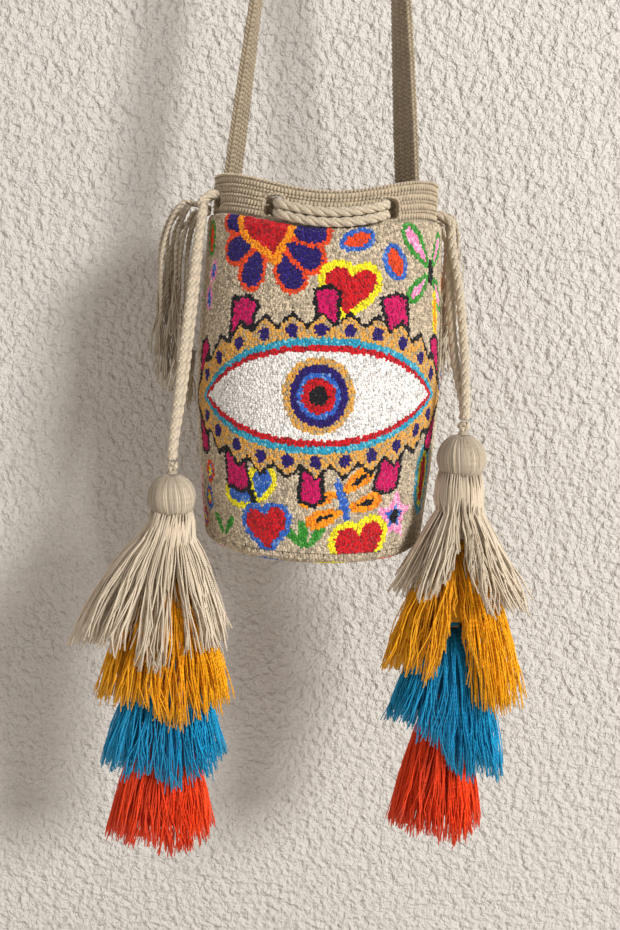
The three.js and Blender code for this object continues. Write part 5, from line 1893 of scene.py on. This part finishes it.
def area_lamp(name, place, target, size, power):
    lamp = bpy.data.lights.new(name, "AREA")
    lamp.size = size
    lamp.energy = power
    lamp.color = (1.0, 0.985, 0.96)
    holder = bpy.data.objects.new(name, lamp)
    bpy.context.scene.collection.objects.link(holder)
    from_target = np.array(place) - np.array(target)
    z = unit(from_target)
    x = unit(np.cross([0, 0, 1.0], z))
    y = np.cross(z, x)
    matrix = Matrix.Identity(4)
    for i in range(3):
        matrix[i][0], matrix[i][1], matrix[i][2] = x[i], y[i], z[i]
    matrix.translation = place
    holder.matrix_world = matrix
    holder.visible_camera = False
    return holder


def make_stage(context):
    stage = context.scene.mochila_stage
    wall_y, floor_z = 0.098, -1.36
    wall = mesh_piece(
        "backdrop_wall",
        [(-2.4, wall_y, floor_z), (2.4, wall_y, floor_z), (2.4, wall_y, 0.9), (-2.4, wall_y, 0.9)],
        [[[0, 1, 2, 3]]], plaster_material("plaster_wall", tuple(stage.wall), True), smooth=False,
    )
    floor = mesh_piece(
        "floor", [(-3, -3, floor_z), (3, -3, floor_z), (3, 3, floor_z), (-3, 3, floor_z)], [[[0, 1, 2, 3]]],
        plaster_material("pale_floor", tuple(stage.floor), False), smooth=False,
    )
    middle = (0, -0.02, -0.7)
    area_lamp("key_lamp", (2.6, -2.8, 0.8), middle, 1.0, stage.key)
    area_lamp("fill_lamp", (-1.3, -1.0, -0.4), middle, 1.2, stage.fill)
    area_lamp("back_lamp", (-0.3, 1.5, 0.1), middle, 1.2, stage.back)
    world = bpy.data.worlds.new("soft_world")
    bpy.context.scene.world = world
    world.use_nodes = True
    tree = world.node_tree
    make = node_helper(tree)
    back = tree.nodes["Background"]
    back.inputs["Color"].default_value = (1.0, 0.86, 0.75, 1)
    back.inputs["Strength"].default_value = stage.world
    pale = make("ShaderNodeBackground", {"Color": (0.93, 0.92, 0.9, 1), "Strength": 1.0})
    light_path = make("ShaderNodeLightPath")
    seen = {0: light_path.outputs["Is Camera Ray"], 1: light_path.outputs["Is Glossy Ray"]}
    rays = make("ShaderNodeMath", seen, operation="MAXIMUM")
    seen = {0: rays.outputs[0], 1: light_path.outputs["Is Transmission Ray"]}
    rays = make("ShaderNodeMath", seen, operation="MAXIMUM")
    either = make("ShaderNodeMixShader", {0: rays.outputs[0], 1: back.outputs[0], 2: pale.outputs[0]})
    tree.links.new(either.outputs[0], tree.nodes["World Output"].inputs["Surface"])
    bpy.context.scene.view_settings.view_transform = "Standard"


# Operators and panel


class MOCHILA_OT_view(bpy.types.Operator):
    """Place the camera at the photograph's viewing angle"""

    bl_idname = "mochila.view"
    bl_label = "Camera"

    def execute(self, context):
        make_view(context)
        return {"FINISHED"}


class MOCHILA_OT_cords(bpy.types.Operator):
    """Make the two drawstrings and the four cords that the tassels hang on"""

    bl_idname = "mochila.cords"
    bl_label = "Drawstrings"

    def execute(self, context):
        make_cords(context)
        return {"FINISHED"}


class MOCHILA_OT_crochet(bpy.types.Operator):
    """Make the crocheted bucket with its rim rows and eyelets"""

    bl_idname = "mochila.crochet"
    bl_label = "Crochet"

    def execute(self, context):
        make_crochet(context)
        return {"FINISHED"}


class MOCHILA_OT_pile(bpy.types.Operator):
    """Tuft the pattern on the wall and the base"""

    bl_idname = "mochila.pile"
    bl_label = "Tufted pile"

    def execute(self, context):
        make_pile(context)
        return {"FINISHED"}


class MOCHILA_OT_strap(bpy.types.Operator):
    """Weave the shoulder strap"""

    bl_idname = "mochila.strap"
    bl_label = "Shoulder strap"

    def execute(self, context):
        make_strap(context)
        return {"FINISHED"}


class MOCHILA_OT_fringe(bpy.types.Operator):
    """Make the strap's fringe"""

    bl_idname = "mochila.fringe"
    bl_label = "Strap fringe"

    def execute(self, context):
        make_fringe(context)
        return {"FINISHED"}


class MOCHILA_OT_tassels(bpy.types.Operator):
    """Make the tassels' balls and tiers of yarn"""

    bl_idname = "mochila.tassels"
    bl_label = "Tassels"

    def execute(self, context):
        make_tassels(context)
        return {"FINISHED"}


class MOCHILA_OT_ties(bpy.types.Operator):
    """Make the knots and bindings of the tassels"""

    bl_idname = "mochila.ties"
    bl_label = "Knots and bindings"

    def execute(self, context):
        make_ties(context)
        return {"FINISHED"}


class MOCHILA_OT_stage(bpy.types.Operator):
    """Make the wall, the floor and the lamps"""

    bl_idname = "mochila.stage"
    bl_label = "Stage"

    def execute(self, context):
        make_stage(context)
        return {"FINISHED"}


OPERATORS = (
    MOCHILA_OT_view,
    MOCHILA_OT_cords,
    MOCHILA_OT_crochet,
    MOCHILA_OT_pile,
    MOCHILA_OT_strap,
    MOCHILA_OT_fringe,
    MOCHILA_OT_tassels,
    MOCHILA_OT_ties,
    MOCHILA_OT_stage,
)


class MOCHILA_PT_panel(bpy.types.Panel):
    """Sizes and colours of the mochila, and the buttons that make its pieces"""

    bl_idname = "MOCHILA_PT_panel"
    bl_label = "Mochila"
    bl_space_type = "VIEW_3D"
    bl_region_type = "UI"
    bl_category = "Mochila"

    def draw(self, context):
        for kind in OPERATORS:
            self.layout.operator(kind.bl_idname)
        for name, group in GROUPS.items():
            box = self.layout.box()
            settings = getattr(context.scene, name)
            for key in group.__annotations__:
                box.prop(settings, key)


GROUPS = {
    "mochila_pile": MochilaPile,
    "mochila_crochet": MochilaCrochet,
    "mochila_tassels": MochilaTassels,
    "mochila_colours": MochilaColours,
    "mochila_stage": MochilaStage,
}
CLASSES = (*GROUPS.values(), *OPERATORS, MOCHILA_PT_panel)


def register():
    for kind in CLASSES:
        bpy.utils.register_class(kind)
    for name, group in GROUPS.items():
        setattr(bpy.types.Scene, name, PointerProperty(type=group))


def unregister():
    for name in GROUPS:
        delattr(bpy.types.Scene, name)
    for kind in reversed(CLASSES):
        bpy.utils.unregister_class(kind)


def main():
    register()
    for name in ("view", "cords", "crochet", "pile", "strap", "fringe", "tassels", "ties", "stage"):
        getattr(bpy.ops.mochila, name)()


if __name__ == "__main__":
    main()
